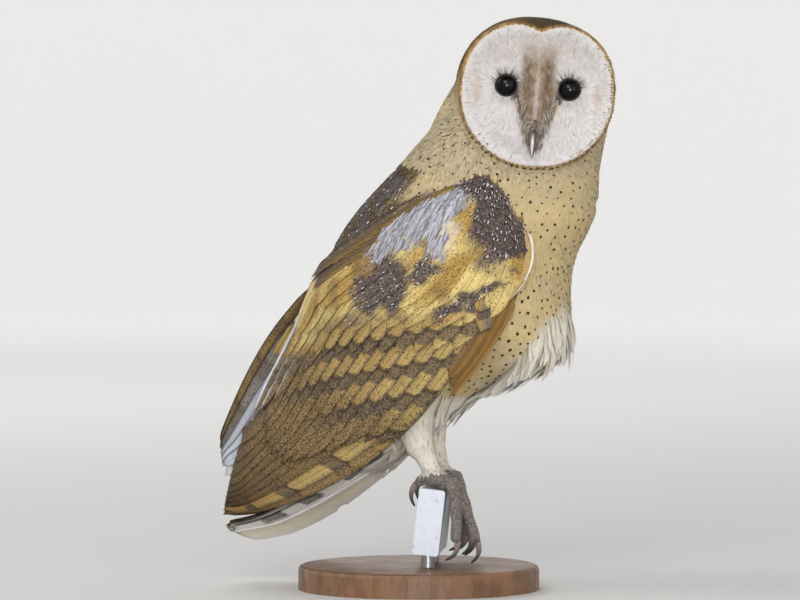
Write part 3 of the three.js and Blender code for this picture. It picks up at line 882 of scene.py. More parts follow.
def wing_marks(t, s, points, noise):
    """The shoulder of the wing: gold and straw, with silver, dark and rusty patches."""
    a, b = wing_measures(t, s)
    a, b = a + 13 * (noise - 0.5), b + 13 * (waves(points, 0.009, 31) - 0.5)
    yellow = waves(points, 0.02, 32)
    colour = mix(GOLD, STRAW, ramp(0.35, 0.7, yellow))
    colour = mix(colour, DUSK, ramp(0.62, 0.8, waves(points, 0.016, 33)) * 0.6)
    colour = mix(colour, DUSK, ramp(0.36, 0.5, t) * ramp(0.9, 0.5, s) * 0.6)
    down = spot(a, b, *SILVER_PATCH, 0.4)
    colour = mix(colour, GREY_DOWN, 0.9 * down)
    snow = spot(a, b, *SNOW_PATCH, 0.7)
    colour = mix(colour, SNOW, 0.32 * snow)
    patch = np.zeros(len(t))
    for at, half, turn in DARK_PATCHES:
        patch = np.maximum(patch, spot(a, b, at, half, turn, 0.3))
    back = ramp(0.9, 0.99, s) * ramp(0.5, 0.3, t)
    patch = np.maximum(patch, back * 0.8)
    colour = mix(colour, SCRIBBLE, patch * 0.94)
    colour = mix(colour, RUST, 0.7 * spot(a, b, *RUST_PATCH))
    fleck = np.maximum(0.2 + 0.35 * (1 - yellow), patch) * (1 - 0.85 * np.maximum(down, snow))
    return colour, fleck, patch


# The line from breast to legs where the buff ends and white begins: places along Y, and heights.
BELLY_LINE = MM * np.array([(-105, -97, -84, -72, -56, -38), (188, 176, 147, 132, 122, 113)])


def belly_line(points):
    """How far points lie below the belly line."""
    return np.interp(points[:, 1], *BELLY_LINE) - points[:, 2]


def body_marks(points, normals, noise):
    """Buff and cream in front, white below the belly line, and the grey mantle behind."""
    z = points[:, 2]
    back = ramp(0.15, 0.55, normals[:, 1] + 0.25 * normals[:, 2])
    colour = mix(BUFF, CREAM, 0.55 * noise + 0.5 * ramp(0.2, 0.245, z))
    white = ramp(-0.006, 0.008, belly_line(points) + 0.008 * (noise - 0.5))
    colour = mix(colour, FLUFF, white)
    mantle = mix(MANTLE, SCRIBBLE, ramp(0.35, 0.6, noise))
    under = ramp(0.12, 0.1, z)
    colour = mix(colour, mantle, back * ramp(0.27, 0.235, z) * (1 - under))
    colour = mix(colour, CROWN, back * ramp(0.225, 0.26, z) * 0.8)
    return colour, 0.95 * back * (1 - under)


def markings(points, normals, parts):
    """The base colour and the strength of the scribble at points of the hull."""
    noise = base_noise(points)
    colour, fleck = body_marks(points, normals, noise)
    head = is_part(parts, "head")
    if head.any():
        colour[head], fleck[head] = head_marks(points[head], noise[head])
    wing = is_part(parts, "wing")
    if wing.any():
        t, s, _ = in_wing(points[wing])
        colour[wing], fleck[wing], _ = wing_marks(t, s, points[wing], noise[wing])
    leg = is_part(parts, "thigh", "shank", "foot")
    colour[leg], fleck[leg] = FLUFF, 0.0
    return colour, fleck


# %% [markdown]
# ## The plumage material
#
# Every feather has a base colour, a scribble strength, a bar count and a barring strength written
# on it. One node group turns these into the colour: the scribble is a fine noise pressed into
# lines, the bars are where the bar count passes a whole number, and the barbs are faint diagonal
# lines on the feather's own map. The group also gives the barbs' height for the bump.


# %% The group for feather markings
BAR_GREY, BAR_EDGE = rgba(srgb(86, 76, 68)), rgba(srgb(48, 38, 30))
FLECK_DARK, FLECK_PALE = rgba(srgb(44, 35, 30)), rgba(srgb(190, 176, 160))
FULL_TURN = 6.2832


def feather_marks():
    """Colour and Height from the scribble strength, bar count and barring on each feather."""
    tree, w = new_group(
        "feather_marks", "ShaderNodeTree", ("Scribble size", "Float", 0.9),
        ("Barb strength", "Float", 0.5), ("Color", "Color"), ("Height", "Float"),
    )
    given = w.node("NodeGroupInput").outputs
    place = w.place()
    plume, fleck = w.attribute("plume"), w.attribute("fleck", "Fac")
    scale = w.math("DIVIDE", 1000.0, given["Scribble size"])
    fine = w.noise(place, scale, 2.0, 0.6)
    broad = w.noise(place, w.times(scale, 0.22))
    bars, barring = w.attribute("bar", "Fac"), w.attribute("barring", "Fac")
    wavy = w.plus(bars, w.times(w.minus(broad, 0.5), 0.16))
    cycle = w.math("FRACT", wavy)
    band = w.times(w.ramped(cycle, 0.52, 0.60), w.minus(1.0, w.ramped(cycle, 0.93, 1.0)))
    band = w.times(band, barring)
    barred = w.blend(w.times(band, 0.8), plume, BAR_GREY)
    line = w.times(w.ramped(cycle, 0.48, 0.54), w.minus(1.0, w.ramped(cycle, 0.57, 0.66)))
    barred = w.blend(w.times(w.times(line, barring), 0.75), barred, BAR_EDGE)
    strength = w.plus(fleck, w.times(band, 0.35), clamp=True)
    level = w.minus(0.62, w.times(strength, 0.14))
    dark = w.ramped(fine, level, w.plus(level, 0.06))
    dark = w.times(dark, w.ramped(strength, 0.04, 0.3))
    marked = w.blend(w.times(dark, 0.75), barred, FLECK_DARK)
    pale_level = w.plus(0.30, w.times(strength, 0.08))
    pale = w.minus(1.0, w.ramped(fine, w.minus(pale_level, 0.05), pale_level))
    pale = w.times(pale, w.times(strength, 0.6))
    marked = w.blend(pale, marked, w.blend(0.4, FLECK_PALE, barred))
    tone = w.plus(0.86, w.times(broad, 0.28))
    parts = w.node("ShaderNodeSeparateXYZ")
    w.feed(parts.inputs[0], w.node("ShaderNodeUVMap", uv_map="vane").outputs["UV"])
    across = w.math("ABSOLUTE", parts.outputs["X"])
    slant = w.minus(w.times(parts.outputs["Y"], 26.0), w.times(across, 5.0))
    barbs = w.math("ABSOLUTE", w.math("SINE", w.times(slant, FULL_TURN)))
    leave = w.node("NodeGroupOutput").inputs
    w.feed(leave["Color"], w.toned(marked, tone))
    w.feed(leave["Height"], w.plus(w.times(barbs, given["Barb strength"]), fine))
    return tree


FEATHER_MARKS = feather_marks()


def plumage(name, scribble=0.9, barbs=0.5, rough=0.72, sheen=0.12, bump_depth=0.25):
    material, w, shader = new_finish(
        name, Roughness=rough, Specular_IOR_Level=0.15, Sheen_Weight=sheen, Sheen_Roughness=0.5
    )
    marks = w.node("ShaderNodeGroup", node_tree=FEATHER_MARKS)
    settle(marks, Scribble_size=scribble, Barb_strength=barbs)
    w.feed(shader.inputs["Base Color"], marks.outputs["Color"])
    w.press(shader, marks.outputs["Height"], bump_depth * MM, 0.6)
    return material


# %% [markdown]
# ## Growing a coat
#
# A small feather is a thin closed leaf: a root in the skin, rows of left edge, raised shaft and
# right edge, and a tip. Each leaf starts at the skin, climbs through the coat and lies along the
# hull, because every row is set down on the hull again. Roots are spread evenly but at random, as
# on a real bird, and the tips of the feathers in front cover the roots of those behind.


# %% Spreading roots
def spread(keep, spacing, seed):
    """Root points on the hull's triangles where keep is true, about spacing metres apart."""
    rng = np.random.default_rng(seed)
    tris = hull_tris[keep]
    a, b, c = (hull_co[tris[:, i]] for i in range(3))
    area = np.linalg.norm(np.cross(b - a, c - a), axis=1) / 2
    tries = int(area.sum() / spacing**2 * 3.2)
    pick = rng.choice(len(tris), tries, p=area / area.sum())
    u, v = rng.random(tries), rng.random(tries)
    u, v = np.where(u + v > 1, 1 - u, u)[:, None], np.where(u + v > 1, 1 - v, v)[:, None]
    points = a[pick] + (b - a)[pick] * u + (c - a)[pick] * v
    cells = {}
    kept = []
    near = [(i, j, k) for i in (-1, 0, 1) for j in (-1, 0, 1) for k in (-1, 0, 1)]
    keys = np.floor(points / spacing).astype(int).tolist()
    rows = points.tolist()
    limit = (0.86 * spacing) ** 2
    for n, (x, y, z) in enumerate(keys):
        p = rows[n]
        for i, j, k in near:
            q = cells.get((x + i, y + j, z + k))
            if q and any(sum((e - f) ** 2 for e, f in zip(p, r)) < limit for r in q):
                break
        else:
            cells.setdefault((x, y, z), []).append(p)
            kept.append(n)
    return points[kept]


# %% Growing leaves
skin_tree = tree_of(skin_co, hull_tris)
ROOTED = 0.25 * MM  # how far a feather's root stands inside the skin
PATCH = 0.0028  # the size of a feather's patch on the map that carries its baked colour


def leaf_faces(rows):
    """The triangles of one leaf: root 0, then left, shaft and right of each row, then the tip."""
    c = np.arange(3)
    d, last = (c + 1) % 3, 1 + 3 * (rows - 1)
    at_root = np.stack([0 * c, 1 + d, 1 + c], 1)
    at_tip = np.stack([last + c, last + d, 0 * c + last + 3], 1)
    return np.concatenate([at_root, 1 + tube_faces(rows, 3), at_tip])


def leaf_sheets(rows):
    """For each triangle of a leaf, 1 where it looks out and -1 on the underside."""
    return np.array([1, 1, -1] + [1, 1, 1, 1, -1, -1] * (rows - 1) + [1, 1, -1])


def leaf_shares(rows):
    """How far along a leaf its root, rows and tip stand."""
    return np.concatenate([[0], (np.arange(rows) + 0.75) / (rows + 0.35), [1]])


def leaf_arrays(root, facing, middles, sides, facings, halves, thick, crown):
    """Leaves as arrays, from their roots and the middle, side and facing of each row and the tip."""
    n, rows = len(root), len(halves)
    co, normals, across = [root[:, None]], [facing[:, None]], [np.zeros((n, 1))]
    for middle, side, facing, half in zip(middles, sides, facings, halves):
        edge = side * half
        co.append(np.stack([middle + edge, middle + facing * thick, middle - edge], 1))
        normals.append(np.stack([facing + side * crown, facing, facing - side * crown], 1))
        across.append(np.tile([-1.0, 0.0, 1.0], (n, 1)))
    co.append(middles[-1][:, None])
    normals.append(facings[-1][:, None])
    across.append(np.zeros((n, 1)))
    along = np.concatenate([[0], np.repeat(leaf_shares(rows)[1:-1], 3), [1]])
    return {"co": np.concatenate(co, 1), "normals": unit(np.concatenate(normals, 1)),
            "across": np.concatenate(across, 1), "along": np.tile(along, (n, 1)), "rows": rows}


def leaves(roots, ahead, length, width, outline, lift, seed, thick=0.22 * MM, stray=0.16, bend=0.1,
           hang=0.0, start=None, crown=0.2, climb=2.6, ground=None):
    """Arrays of leaves laid on the hull. outline is the half width of each row as a share."""
    rng = np.random.default_rng(seed)
    n, rows = len(roots), len(outline)
    length, width, lift = (np.broadcast_to(np.asarray(v, float), n) for v in (length, width, lift))
    length = length * rng.uniform(0.85, 1.15, n)
    width = width * rng.uniform(0.85, 1.15, n)
    lift = lift * rng.uniform(0.3, 1.7, n)
    shares = leaf_shares(rows)
    facing = root_facing = on_ground(roots, ground)[1]
    low = nearest_on(skin_tree, roots)[0] if start is None else start
    depth = np.linalg.norm(roots - low, axis=1)
    way = unit(ahead + np.cross(facing, ahead) * rng.normal(0, stray, n)[:, None])
    curve = rng.normal(0, bend, n)[:, None]
    p = roots
    middles, sides, facings = [], [], []
    for k in range(1, rows + 2):
        step = (length * (shares[k] - shares[k - 1]))[:, None]
        p, facing = on_ground(p + way * step, ground)
        side = unit(np.cross(facing, way))
        way = lain(unit(way + side * curve * 0.5 + DOWN * hang * shares[k]), facing)
        height = lift * shares[k] ** 2 - depth * (1 - shares[k]) ** climb
        middles.append(p + facing * height[:, None])
        sides.append(side)
        facings.append(facing)
    halves = [(width * share / 2)[:, None] for share in outline]
    root = low - root_facing * ROOTED
    made = leaf_arrays(root, root_facing, middles, sides, facings, halves, thick, crown)
    return made | {"middles": np.stack(middles, 1), "facing": facing}


def batch_faces(made):
    """The triangles of a batch of leaves."""
    n, per = made["co"].shape[:2]
    return (leaf_faces(made["rows"])[None] + (np.arange(n) * per)[:, None, None]).reshape(-1, 3)


def chart(points, parts_seen):
    """Where points lie on an unwrap of the skin: round and along the body, or across the face."""
    if parts_seen == "face":
        local = to_head(points)
        place = local[:, [0, 2]]
    elif parts_seen == "head":
        local = to_head(points)
        angle = np.arctan2(local[:, 0], local[:, 2])
        place = np.stack([angle * 0.045, local[:, 1]], 1)
    elif parts_seen == "wing":
        t, s, _ = in_wing(points)
        place = np.stack([t * 0.3, s * 0.13 + 0.15 * (points[:, 0] > 0)], 1)
    else:
        away = points - SPINE_TOP
        front = away @ SPINE_FRONT
        place = np.stack([np.arctan2(points[:, 0], front) * 0.055, away @ SPINE_AHEAD], 1)
    low, high = place.min(0), place.max(0)
    return 0.01 + 0.98 * (place - low) / np.maximum(high - low, 1e-6).max()


def joined(parts, name, material, slot, *replaced):
    """One piece from the arrays of many feathers."""
    every = {key: np.concatenate([p[key] for p in parts]) for key in parts[0] if key != "tris"}
    maps = {label: every[label] for label in ("OFBake", "vane")}
    values = {label: every[label] for label in ("plume", "fleck", "bar", "barring")}
    co, normals, sheets = every["co"], every["normals"], every.get("sheets")
    mesh = mesh_of(name, co, numbered(parts), normals, maps, sheets, **values)
    return piece_of(name, mesh, material, slot, *replaced)


def gather(batches, name, material, slot, parts_seen):
    """One piece of all the leaves in the batches, each with its colours, maps and soft normals."""
    parts = []
    for made, colours, flecks in batches:
        n, per = made["co"].shape[:2]
        place = chart(made["co"][:, 0], parts_seen)[:, None]
        patch = PATCH * np.stack([made["across"] / 2, made["along"] - 0.5], -1)
        parts.append({
            "co": made["co"].reshape(-1, 3),
            "tris": batch_faces(made),
            "sheets": np.tile(leaf_sheets(made["rows"]), n),
            "normals": made["normals"].reshape(-1, 3),
            "plume": colours.reshape(-1, 3),
            "fleck": np.broadcast_to(flecks, (n, per)).ravel(),
            "bar": np.zeros(n * per),
            "barring": np.zeros(n * per),
            "vane": np.stack([made["across"], made["along"]], -1).reshape(-1, 2),
            "OFBake": (place + patch).reshape(-1, 2),
        })
    joined(parts, name, material, slot)


def dressed(made, seed, base=FLUFF, base_share=0.45, vary=0.06):
    """Colours for leaves: the markings under the tip, paler and downier towards the root."""
    rng = np.random.default_rng(seed)
    place = made["middles"][:, -2]
    tip, fleck = markings(place, made["facing"], parts_at(place))
    tip = np.clip(tip * (1 + rng.normal(0, vary, (len(tip), 1))), 0, 1)
    down = tip * 0.9 if base is None else mix(tip, base, 0.35)
    share = ramp(base_share, base_share - 0.4, made["along"])
    colours = mix(tip[:, None], down[:, None], share)
    return colours, fleck[:, None] * np.ones_like(made["along"])


# %% [markdown]
# ## The face, the crown and the body's feathers
#
# The disc is made of small stiff feathers that fan out from round each eye, the ruff is a dense
# rim of short ones standing forward, and the crown, neck and breast wear soft overlapping ones
# that grow longer down the body. The belly and thighs are downy, and their tips hang free.

# %% Regions of the hull
centres = hull_co[hull_tris].mean(1)
facings = unit(face_normals(hull_co, hull_tris))
tri_parts = parts_at(centres)
tri_local = to_head(centres)
tri_share = disc_share(tri_local)
in_disc = is_part(tri_parts, "head") & (tri_share < 0.97) & (tri_local[:, 1] < FACE_BACK)
eye_gap = np.hypot(np.abs(tri_local[:, 0]) - EYE_OUT, tri_local[:, 2] - EYE_UP)
on_face = in_disc & (tri_share < 0.93) & (eye_gap > 6.5 * MM)
on_skull = is_part(tri_parts, "head") & ~in_disc
white_line = belly_line(centres)
on_body = is_part(tri_parts, "neck", "trunk")
back_side = facings[:, 1] + 0.25 * facings[:, 2] > 0.3
on_back = on_body & back_side & (centres[:, 2] > 0.11)
on_breast = on_body & ~on_back & (white_line < 0.004)
on_belly = on_body & ~on_back & (white_line >= 0.004)
on_thigh = is_part(tri_parts, "thigh")
on_shank = is_part(tri_parts, "shank") | (is_part(tri_parts, "foot") & (centres[:, 2] > FEATHERED_TO))
REGIONS = {"face": on_face, "skull": on_skull, "breast": on_breast, "belly": on_belly}
for region, keep in REGIONS.items():
    print(region, int(keep.sum()), "triangles of hull")

PLUMAGE_HEAD = plumage("plumage_head", scribble=0.8, barbs=0.2, rough=0.85, sheen=0.0)
PLUMAGE_FACE = plumage("plumage_face", scribble=0.7, barbs=0.0, rough=0.8, sheen=0.1, bump_depth=0.1)
PLUMAGE_BREAST = plumage("plumage_breast", scribble=0.8, barbs=0.2, sheen=0.05, bump_depth=0.15)
PLUMAGE_DOWN = plumage("plumage_down", scribble=0.9, barbs=0.2, rough=0.85, sheen=0.15)
PLUMAGE_BACK = plumage("plumage_back", scribble=1.0, barbs=0.4, sheen=0.02)


# %% The facial disc
def face_lie(points):
    """Feathers fan out from each eye, run down the bridge, and meet the rim squarely."""
    local = to_head(points)
    x, z = local[:, 0], local[:, 2]
    side = np.where(x < 0, -1.0, 1.0)
    fan = unit(across_face(x - side * EYE_OUT, z - EYE_UP))
    ridge = bump(np.abs(x), 0.010) * ramp(0.036, 0.024, z)
    bridge_way = unit(across_face(side * np.where(z < -0.006, -0.16, 0.12), -1.0))
    fan = unit(mix(fan, bridge_way, ridge))
    out = unit(across_face(x, z))
    fan = unit(mix(fan, out, ramp(0.5, 0.95, disc_share(local)) * (1 - ridge)))
    return fan @ HEAD_AXES.T


def face_coat():
    """The fine feathers of the disc, longer away from the eyes, a few of them greyer."""
    rng = np.random.default_rng(4)
    roots = spread(on_face, 0.84 * MM, 1)
    _, facing = on_ground(roots)
    local = to_head(roots)
    gap = np.hypot(np.abs(local[:, 0]) - EYE_OUT, local[:, 2] - EYE_UP)
    length = np.interp(gap, [0.0065, 0.011, 0.03], [0.0024, 0.0048, 0.0068])
    length = np.minimum(length, (0.99 - disc_share(local)) * 0.045 + 0.0012)
    made = leaves(roots, lain(face_lie(roots), facing), length, 0.85 * MM, (0.9, 0.85), 0.3 * MM, 2,
                  thick=0.08 * MM, stray=0.14, bend=0.12, crown=0.1)
    colours, flecks = dressed(made, 3, base=ASH, vary=0.035)
    thin = rng.random(len(roots)) < 0.05 * ramp(0.95, 0.5, disc_share(local))
    colours[thin] = colours[thin] * (0.84, 0.80, 0.77)
    return [(made, colours, flecks * 0)]


gather(face_coat(), "coat_face", PLUMAGE_FACE, "plumage_head", "face")


# %% The ruff
# The ruff's rows: the share of the rim where they stand, feathers in them, length and stand in mm.
RUFF_ROWS = [(0.945, 760, 3.0, 0.5), (0.975, 640, 3.2, 0.8), (0.995, 660, 3.4, 0.8)]
RUFF_ROWS += [(1.025, 660, 4.2, 0.5)]
RUFF_DARK = (0.0, 0.5, 1.0, 0.15)  # how dark the beads of each row are
BEADS = 70


def ruff_coat():
    """Rows of short stiff feathers round the disc, their tips standing forward of it."""
    rng = np.random.default_rng(5)
    batches = []
    for row, (share, count, length, stand) in enumerate(RUFF_ROWS):
        angle = (np.arange(count) + 0.5 * row + rng.uniform(-0.2, 0.2, count)) / count * 2 * np.pi
        x, z = np.sin(angle), np.cos(angle)
        r = disc_rim(x, z) * share - 0.001
        ahead_of_rim = from_head(across_face(x * r, z * r, -0.040))
        roots, _, good = hits_of(hull_tree, ahead_of_rim, INTO_FACE, 0.04)
        x, z, r, angle = x[good], z[good], r[good], angle[good]
        out = across_face(x, z, -0.5) @ HEAD_AXES.T
        facing = on_ground(roots)[1]
        made = leaves(roots, lain(out, facing), length * MM, 0.95 * MM, (0.9, 1.0), stand * MM,
                      6 + row, thick=0.2 * MM, stray=0.08, bend=0.04, crown=0.15)
        low = ramp(-0.004, -0.03, z * r)
        notch = bump(x, 0.1) * (z > 0)
        noise = waves(made["middles"][:, 1], 0.005, 40 + row)
        gold = mix(RIM_GOLD, RIM_RUST, ramp(0.35, 0.75, noise) + 0.6 * notch)
        pale = mix(gold, WHITE, 0.94)
        gold = mix(gold, CREAM, 0.35 * low)
        shade = (pale, gold, gold, mix(mix(gold, RIM_RUST, 0.5), CREAM, low))[row]
        beads = ramp(-0.1, 0.5, np.sin(angle * BEADS + 3 * noise))
        stray_dark = 0.25 * (row > 1) * (rng.random(len(roots)) < 0.3)
        dark = RUFF_DARK[row] * low * beads + stray_dark
        tip = mix(shade, RIM_DARK, np.clip(dark, 0, 1))
        colours = mix(shade[:, None], tip[:, None], ramp(0.4, 0.7, made["along"]))
        batches.append((made, colours, np.zeros_like(made["along"])))
    return batches


gather(ruff_coat(), "coat_ruff", PLUMAGE_HEAD, "plumage_head", "head")


# %% Crown, neck, breast, back and down
def plain_coat(keep, spacing, length, width, lift, seed, outline=(0.75, 1.0, 0.95),
               thick=0.08 * MM, climb=3.2, **how):
    """Leaves over a region of the hull. length is in metres, or a function of their roots."""
    roots = spread(keep, spacing, seed)
    facing = on_ground(roots)[1]
    ahead = lie_at(roots, facing, parts_at(roots))
    size = length(roots) if callable(length) else length
    return leaves(roots, ahead, size, width, outline, lift, seed + 1, thick, climb=climb, **how)


def skull_coat():
    """The short flat feathers of the crown and nape."""
    made = plain_coat(on_skull, 1.3 * MM, 7.0 * MM, 1.8 * MM, 0.2 * MM, 51, stray=0.1, crown=0.1)
    return [(made, *dressed(made, 52, base=None, vary=0.09))]


def marks_on(ground, at, way, length, width, colour, seed, lift=0.12 * MM, fleck=0.0):
    """Small marks laid on the feathers of another piece, as short thin leaves."""
    facing = on_ground(at, ground)[1]
    spots = leaves(at, lain(way, facing), length, width, (0.95, 0.9), 0.1 * MM, seed,
                   thick=0.1 * MM, stray=0.1, bend=0.0, start=at - facing * 0.2 * MM, ground=ground)
    spots["co"] = spots["co"] + facing[:, None] * lift
    colours = np.broadcast_to(colour[..., None, :], spots["co"].shape)
    return spots, colours, np.full_like(spots["along"], fleck)


def outside_of(tree, points, facing, reach=8 * MM):
    """The outermost points of a surface over points of the hull, and which points have one."""
    where, _, good = hits_of(tree, points + facing * reach, -facing, 2 * reach)
    return where, good


def tips_over(batches, roots):
    """A surface of some leaves, its places over roots, and the way the feathers lie there."""
    parts = [{"co": made["co"].reshape(-1, 3), "tris": batch_faces(made)} for made, *_ in batches]
    tree = tree_of(np.concatenate([p["co"] for p in parts]), numbered(parts))
    facing = on_ground(roots)[1]
    at, good = outside_of(tree, roots, facing)
    return tree, at, lie_at(at, facing[good], parts_at(at))


skull = skull_coat()


def breast_coat():
    """Soft rounded feathers, each patch of them with a small dark spot on one tip."""
    made = plain_coat(on_breast, 1.22 * MM, lambda p: np.interp(p[:, 2], [0.12, 0.25], [0.013, 0.009]),
                      2.0 * MM, 0.2 * MM, 61, outline=(0.9, 1.0, 0.8), stray=0.09, crown=0.08)
    batch = (made, *dressed(made, 62, base_share=0.6, vary=0.03))
    chin = on_skull & (tri_local[:, 2] < -0.002) & (facings[:, 1] < 0.5)
    roots = spread(on_breast | chin, 4.9 * MM, 63)
    roots = roots[waves(roots, 0.012, 64) > 0.2]
    tree, at, way = tips_over([batch, *skull], roots)
    grows = np.interp(at[:, 2], [0.13, 0.2, 0.26], [1.75, 1.5, 1.2]) * MM
    grows = grows * np.random.default_rng(66).uniform(0.7, 1.15, len(at))
    return [batch, marks_on(tree, at, way, grows * 1.45, grows, RIM_DARK, 65, 0.2 * MM)]


def free_leaves(roots, facing, ahead, length, half, outline, seed, arch=0.0, lean=0.18, droop=0.0):
    """Leaves that leave the body: each runs straight ahead, arched away from it and drooping."""
    rng = np.random.default_rng(seed)
    n = len(roots)
    length = (length * rng.uniform(0.7, 1.25, n))[:, None]
    side = unit(np.cross(facing, ahead))
    way = unit(ahead + side * rng.normal(0, lean, n)[:, None])
    curl = side * rng.normal(0, lean * 0.7, n)[:, None] + DOWN * droop
    middles = []
    for share in leaf_shares(len(outline))[1:]:
        middle = roots + (way * share + curl * share**2) * length
        middles.append(middle + facing * (arch * np.sin(np.pi * share * 0.7)))
    every = len(middles)
    halves = [half * share for share in outline]
    return leaf_arrays(roots, facing, middles, [side] * every, [facing] * every, halves, 0.15 * MM, 0.2)


def pale_down(made, seed):
    """Down is nearly white, a little warmer at its root and uneven from lock to lock."""
    rng = np.random.default_rng(seed)
    colours = mix(FLUFF, DOWN_TIP, ramp(0.2, 0.9, made["along"]) * 0.7)
    return colours * rng.uniform(0.9, 1.04, (len(colours), 1, 1)), np.zeros_like(made["along"])


def belly_coat():
    """Fine down on the belly, and a ragged fringe of locks that hangs free below the breast."""
    made = plain_coat(on_belly, 1.3 * MM, 0.010, 1.9 * MM, 0.3 * MM, 71, outline=(0.9, 1.0, 0.7),
                      stray=0.14, bend=0.12, hang=0.2, crown=0.08)
    edge = on_body & ~on_back & (white_line > -0.001) & (white_line < 0.04) & (centres[:, 1] < 0.01)
    roots = spread(edge, 1.7 * MM, 75)
    facing = on_ground(roots)[1]
    lie = lie_at(roots, facing, parts_at(roots))
    long = np.interp(belly_line(roots), [0, 0.015, 0.04], [0.015, 0.013, 0.010])
    middles = spread(edge, 6.0 * MM, 78)
    finder = finder_of(middles)
    clump = np.array([finder.find(p)[1] for p in roots.tolist()])
    rng = np.random.default_rng(74)
    long = long * rng.uniform(0.65, 1.4, len(middles))[clump]
    drift = rng.normal(0, 0.16, (len(middles), 3))[clump]
    pull = (middles[clump] - roots) / long[:, None]
    ahead = unit(unit(lie + 0.12 * DOWN) + 0.6 * drift + 0.7 * pull)
    fringe = free_leaves(roots, facing, ahead, long, 1.25 * MM, (0.8, 1.0, 0.95, 0.7), 76,
                         arch=1.0 * MM, lean=0.08, droop=0.03)
    return [(made, *dressed(made, 72, base=DOWN_TIP, vary=0.04)), (fringe, *pale_down(fringe, 77))]


def back_coat():
    """Mantle feathers, olive and gold under a grey scribble, with black and white drops."""
    made = plain_coat(on_back, 1.9 * MM, 0.014, 3.6 * MM, 0.25 * MM, 81, outline=(0.85, 1.0, 0.9),
                      thick=0.1 * MM, stray=0.08, crown=0.12)
    batch = (made, *dressed(made, 82, base=None, vary=0.12))
    roots = spread(on_back & (centres[:, 2] < 0.27), 6.5 * MM, 83)
    tree, at, way = tips_over([batch], roots)
    dark = marks_on(tree, at, way, 3.6 * MM, 1.6 * MM, RIM_DARK, 84)
    pale = marks_on(tree, at + way * 0.7 * MM, way, 2.2 * MM, 0.75 * MM, SNOW, 85, 0.3 * MM)
    return [batch, dark, pale]


# The legs' feathers: where they grow, their spacing, length and width in mm, and a seed.
LEG_ROWS = [(on_thigh, 1.2, 8.5, 1.6, 91), (on_shank, 0.95, 4.4, 1.05, 94)]


def leg_coat():
    """The short close feathers of the legs, which thin out above the toes."""
    batches = []
    for keep, spacing, length, width, seed in LEG_ROWS:
        made = plain_coat(keep, spacing * MM, length * MM, width * MM, 0.25 * MM, seed,
                          outline=(0.95, 0.8), thick=0.07 * MM, stray=0.14, bend=0.12, crown=0.1)
        batches.append((made, *pale_down(made, seed + 2)))
    return batches


gather(skull, "coat_skull", PLUMAGE_HEAD, "plumage_head", "head")
gather(breast_coat(), "coat_breast", PLUMAGE_BREAST, "plumage_breast", "body")
gather(belly_coat(), "coat_belly", PLUMAGE_DOWN, "plumage_thigh", "body")
gather(back_coat(), "coat_back", PLUMAGE_BACK, "plumage_wing", "body")
gather(leg_coat(), "coat_legs", PLUMAGE_DOWN, "plumage_thigh", "body")

# %% [markdown]
# ## Flight feathers and great coverts
#
# In a folded wing each long feather shows only the strip of its outer vane, because the next one
# inwards lies over the rest. So each is modelled whole, as a thin closed vane on the wing's own
# length and share, with its lower edge raised over its neighbour like a roof tile. A shaft runs
# along it, the edge is nicked where barbs have parted, and the underside is pale.

# %% A long vane
WEB_COLUMNS = 7
VANE_ROWS = 30
WEB = np.linspace(-1, 1, WEB_COLUMNS)
WEB_THICK = 0.34 * MM


def sheet_faces(rows, columns):
    """Triangles of a closed thin sheet: a top grid, a bottom grid and the rim between them."""
    size = rows * columns
    grid = np.arange(size).reshape(rows, columns)
    a, b, d, e = (g.ravel() for g in (grid[:-1, :-1], grid[:-1, 1:], grid[1:, 1:], grid[1:, :-1]))
    top, bottom = [a, b, d, a, d, e], [size + k for k in (a, d, b, a, e, d)]
    ring = np.concatenate([grid[0], grid[1:, -1], grid[-1, -2::-1], grid[-2:0:-1, 0]])
    after = np.roll(ring, -1)
    rim = [ring, size + after, after, ring, size + ring, size + after]
    return np.concatenate([np.stack(rows, 1).reshape(-1, 3) for rows in (top + bottom, rim)])


VANE_FACES = sheet_faces(VANE_ROWS, WEB_COLUMNS)


def vane_outline(v, tip_from, nicks, rng):
    """Half width of a vane as a share: narrow quill, even web, round tip, and small nicks."""
    round_tip = np.sqrt(np.clip(1 - (np.clip(v - tip_from, 0, 1) / (1 - tip_from)) ** 2, 0.0, 1))
    web = (0.12 + 0.88 * ramp(0.0, 0.22, v)) * np.maximum(round_tip, 0.04)
    cuts = []
    for _ in range(nicks):
        cuts.append(1 - 0.5 * rng.uniform(0.1, 0.45) * bump(v - rng.uniform(0.35, 0.97), 0.012))
    return web * np.prod(cuts, 0) if nicks else web


def web_thickness(v):
    """A vane is thickest by its shaft and near its root."""
    return WEB_THICK * (1 - 0.7 * np.abs(WEB)) * (1 - 0.5 * v[:, None])


def long_vane(side, line, low, high, lifts, roof, rng, tip_from=0.8, camber=0.5 * MM, nicks=3):
    """Corner points of one feather over the wing. line is (t, s) at quill, middle and tip."""
    v = np.linspace(0, 1, VANE_ROWS)
    t, s = smooth_line([(*p, 0) for p in line], v)[:, :2].T
    outlines = np.stack([vane_outline(v, tip_from, nicks, rng) for _ in range(2)])
    lift = np.interp(v, (0, 0.5, 1), lifts)
    half = np.where(WEB[None] < 0, (low * outlines[0])[:, None], (high * outlines[1])[:, None])
    wing_width = np.maximum(np.interp(t, *WING_WIDTHS), 12) * MM
    share = s[:, None] + WEB * half / wing_width[:, None]
    sweep_back = 0.012 * np.abs(WEB) * ramp(0.0, 0.3, v)[:, None]
    swept = t[:, None] - sweep_back * np.sign(line[-1][0] - line[0][0])
    stand = lift[:, None] - roof * WEB * outlines[0][:, None] - camber * WEB**2
    top = on_wing(swept, share, side, stand)
    under = on_wing(swept, share, side, stand - web_thickness(v))
    return {"top": top, "under": under, "t": swept, "s": share, "v": v, "tone": rng.uniform(0.88, 1.1)}


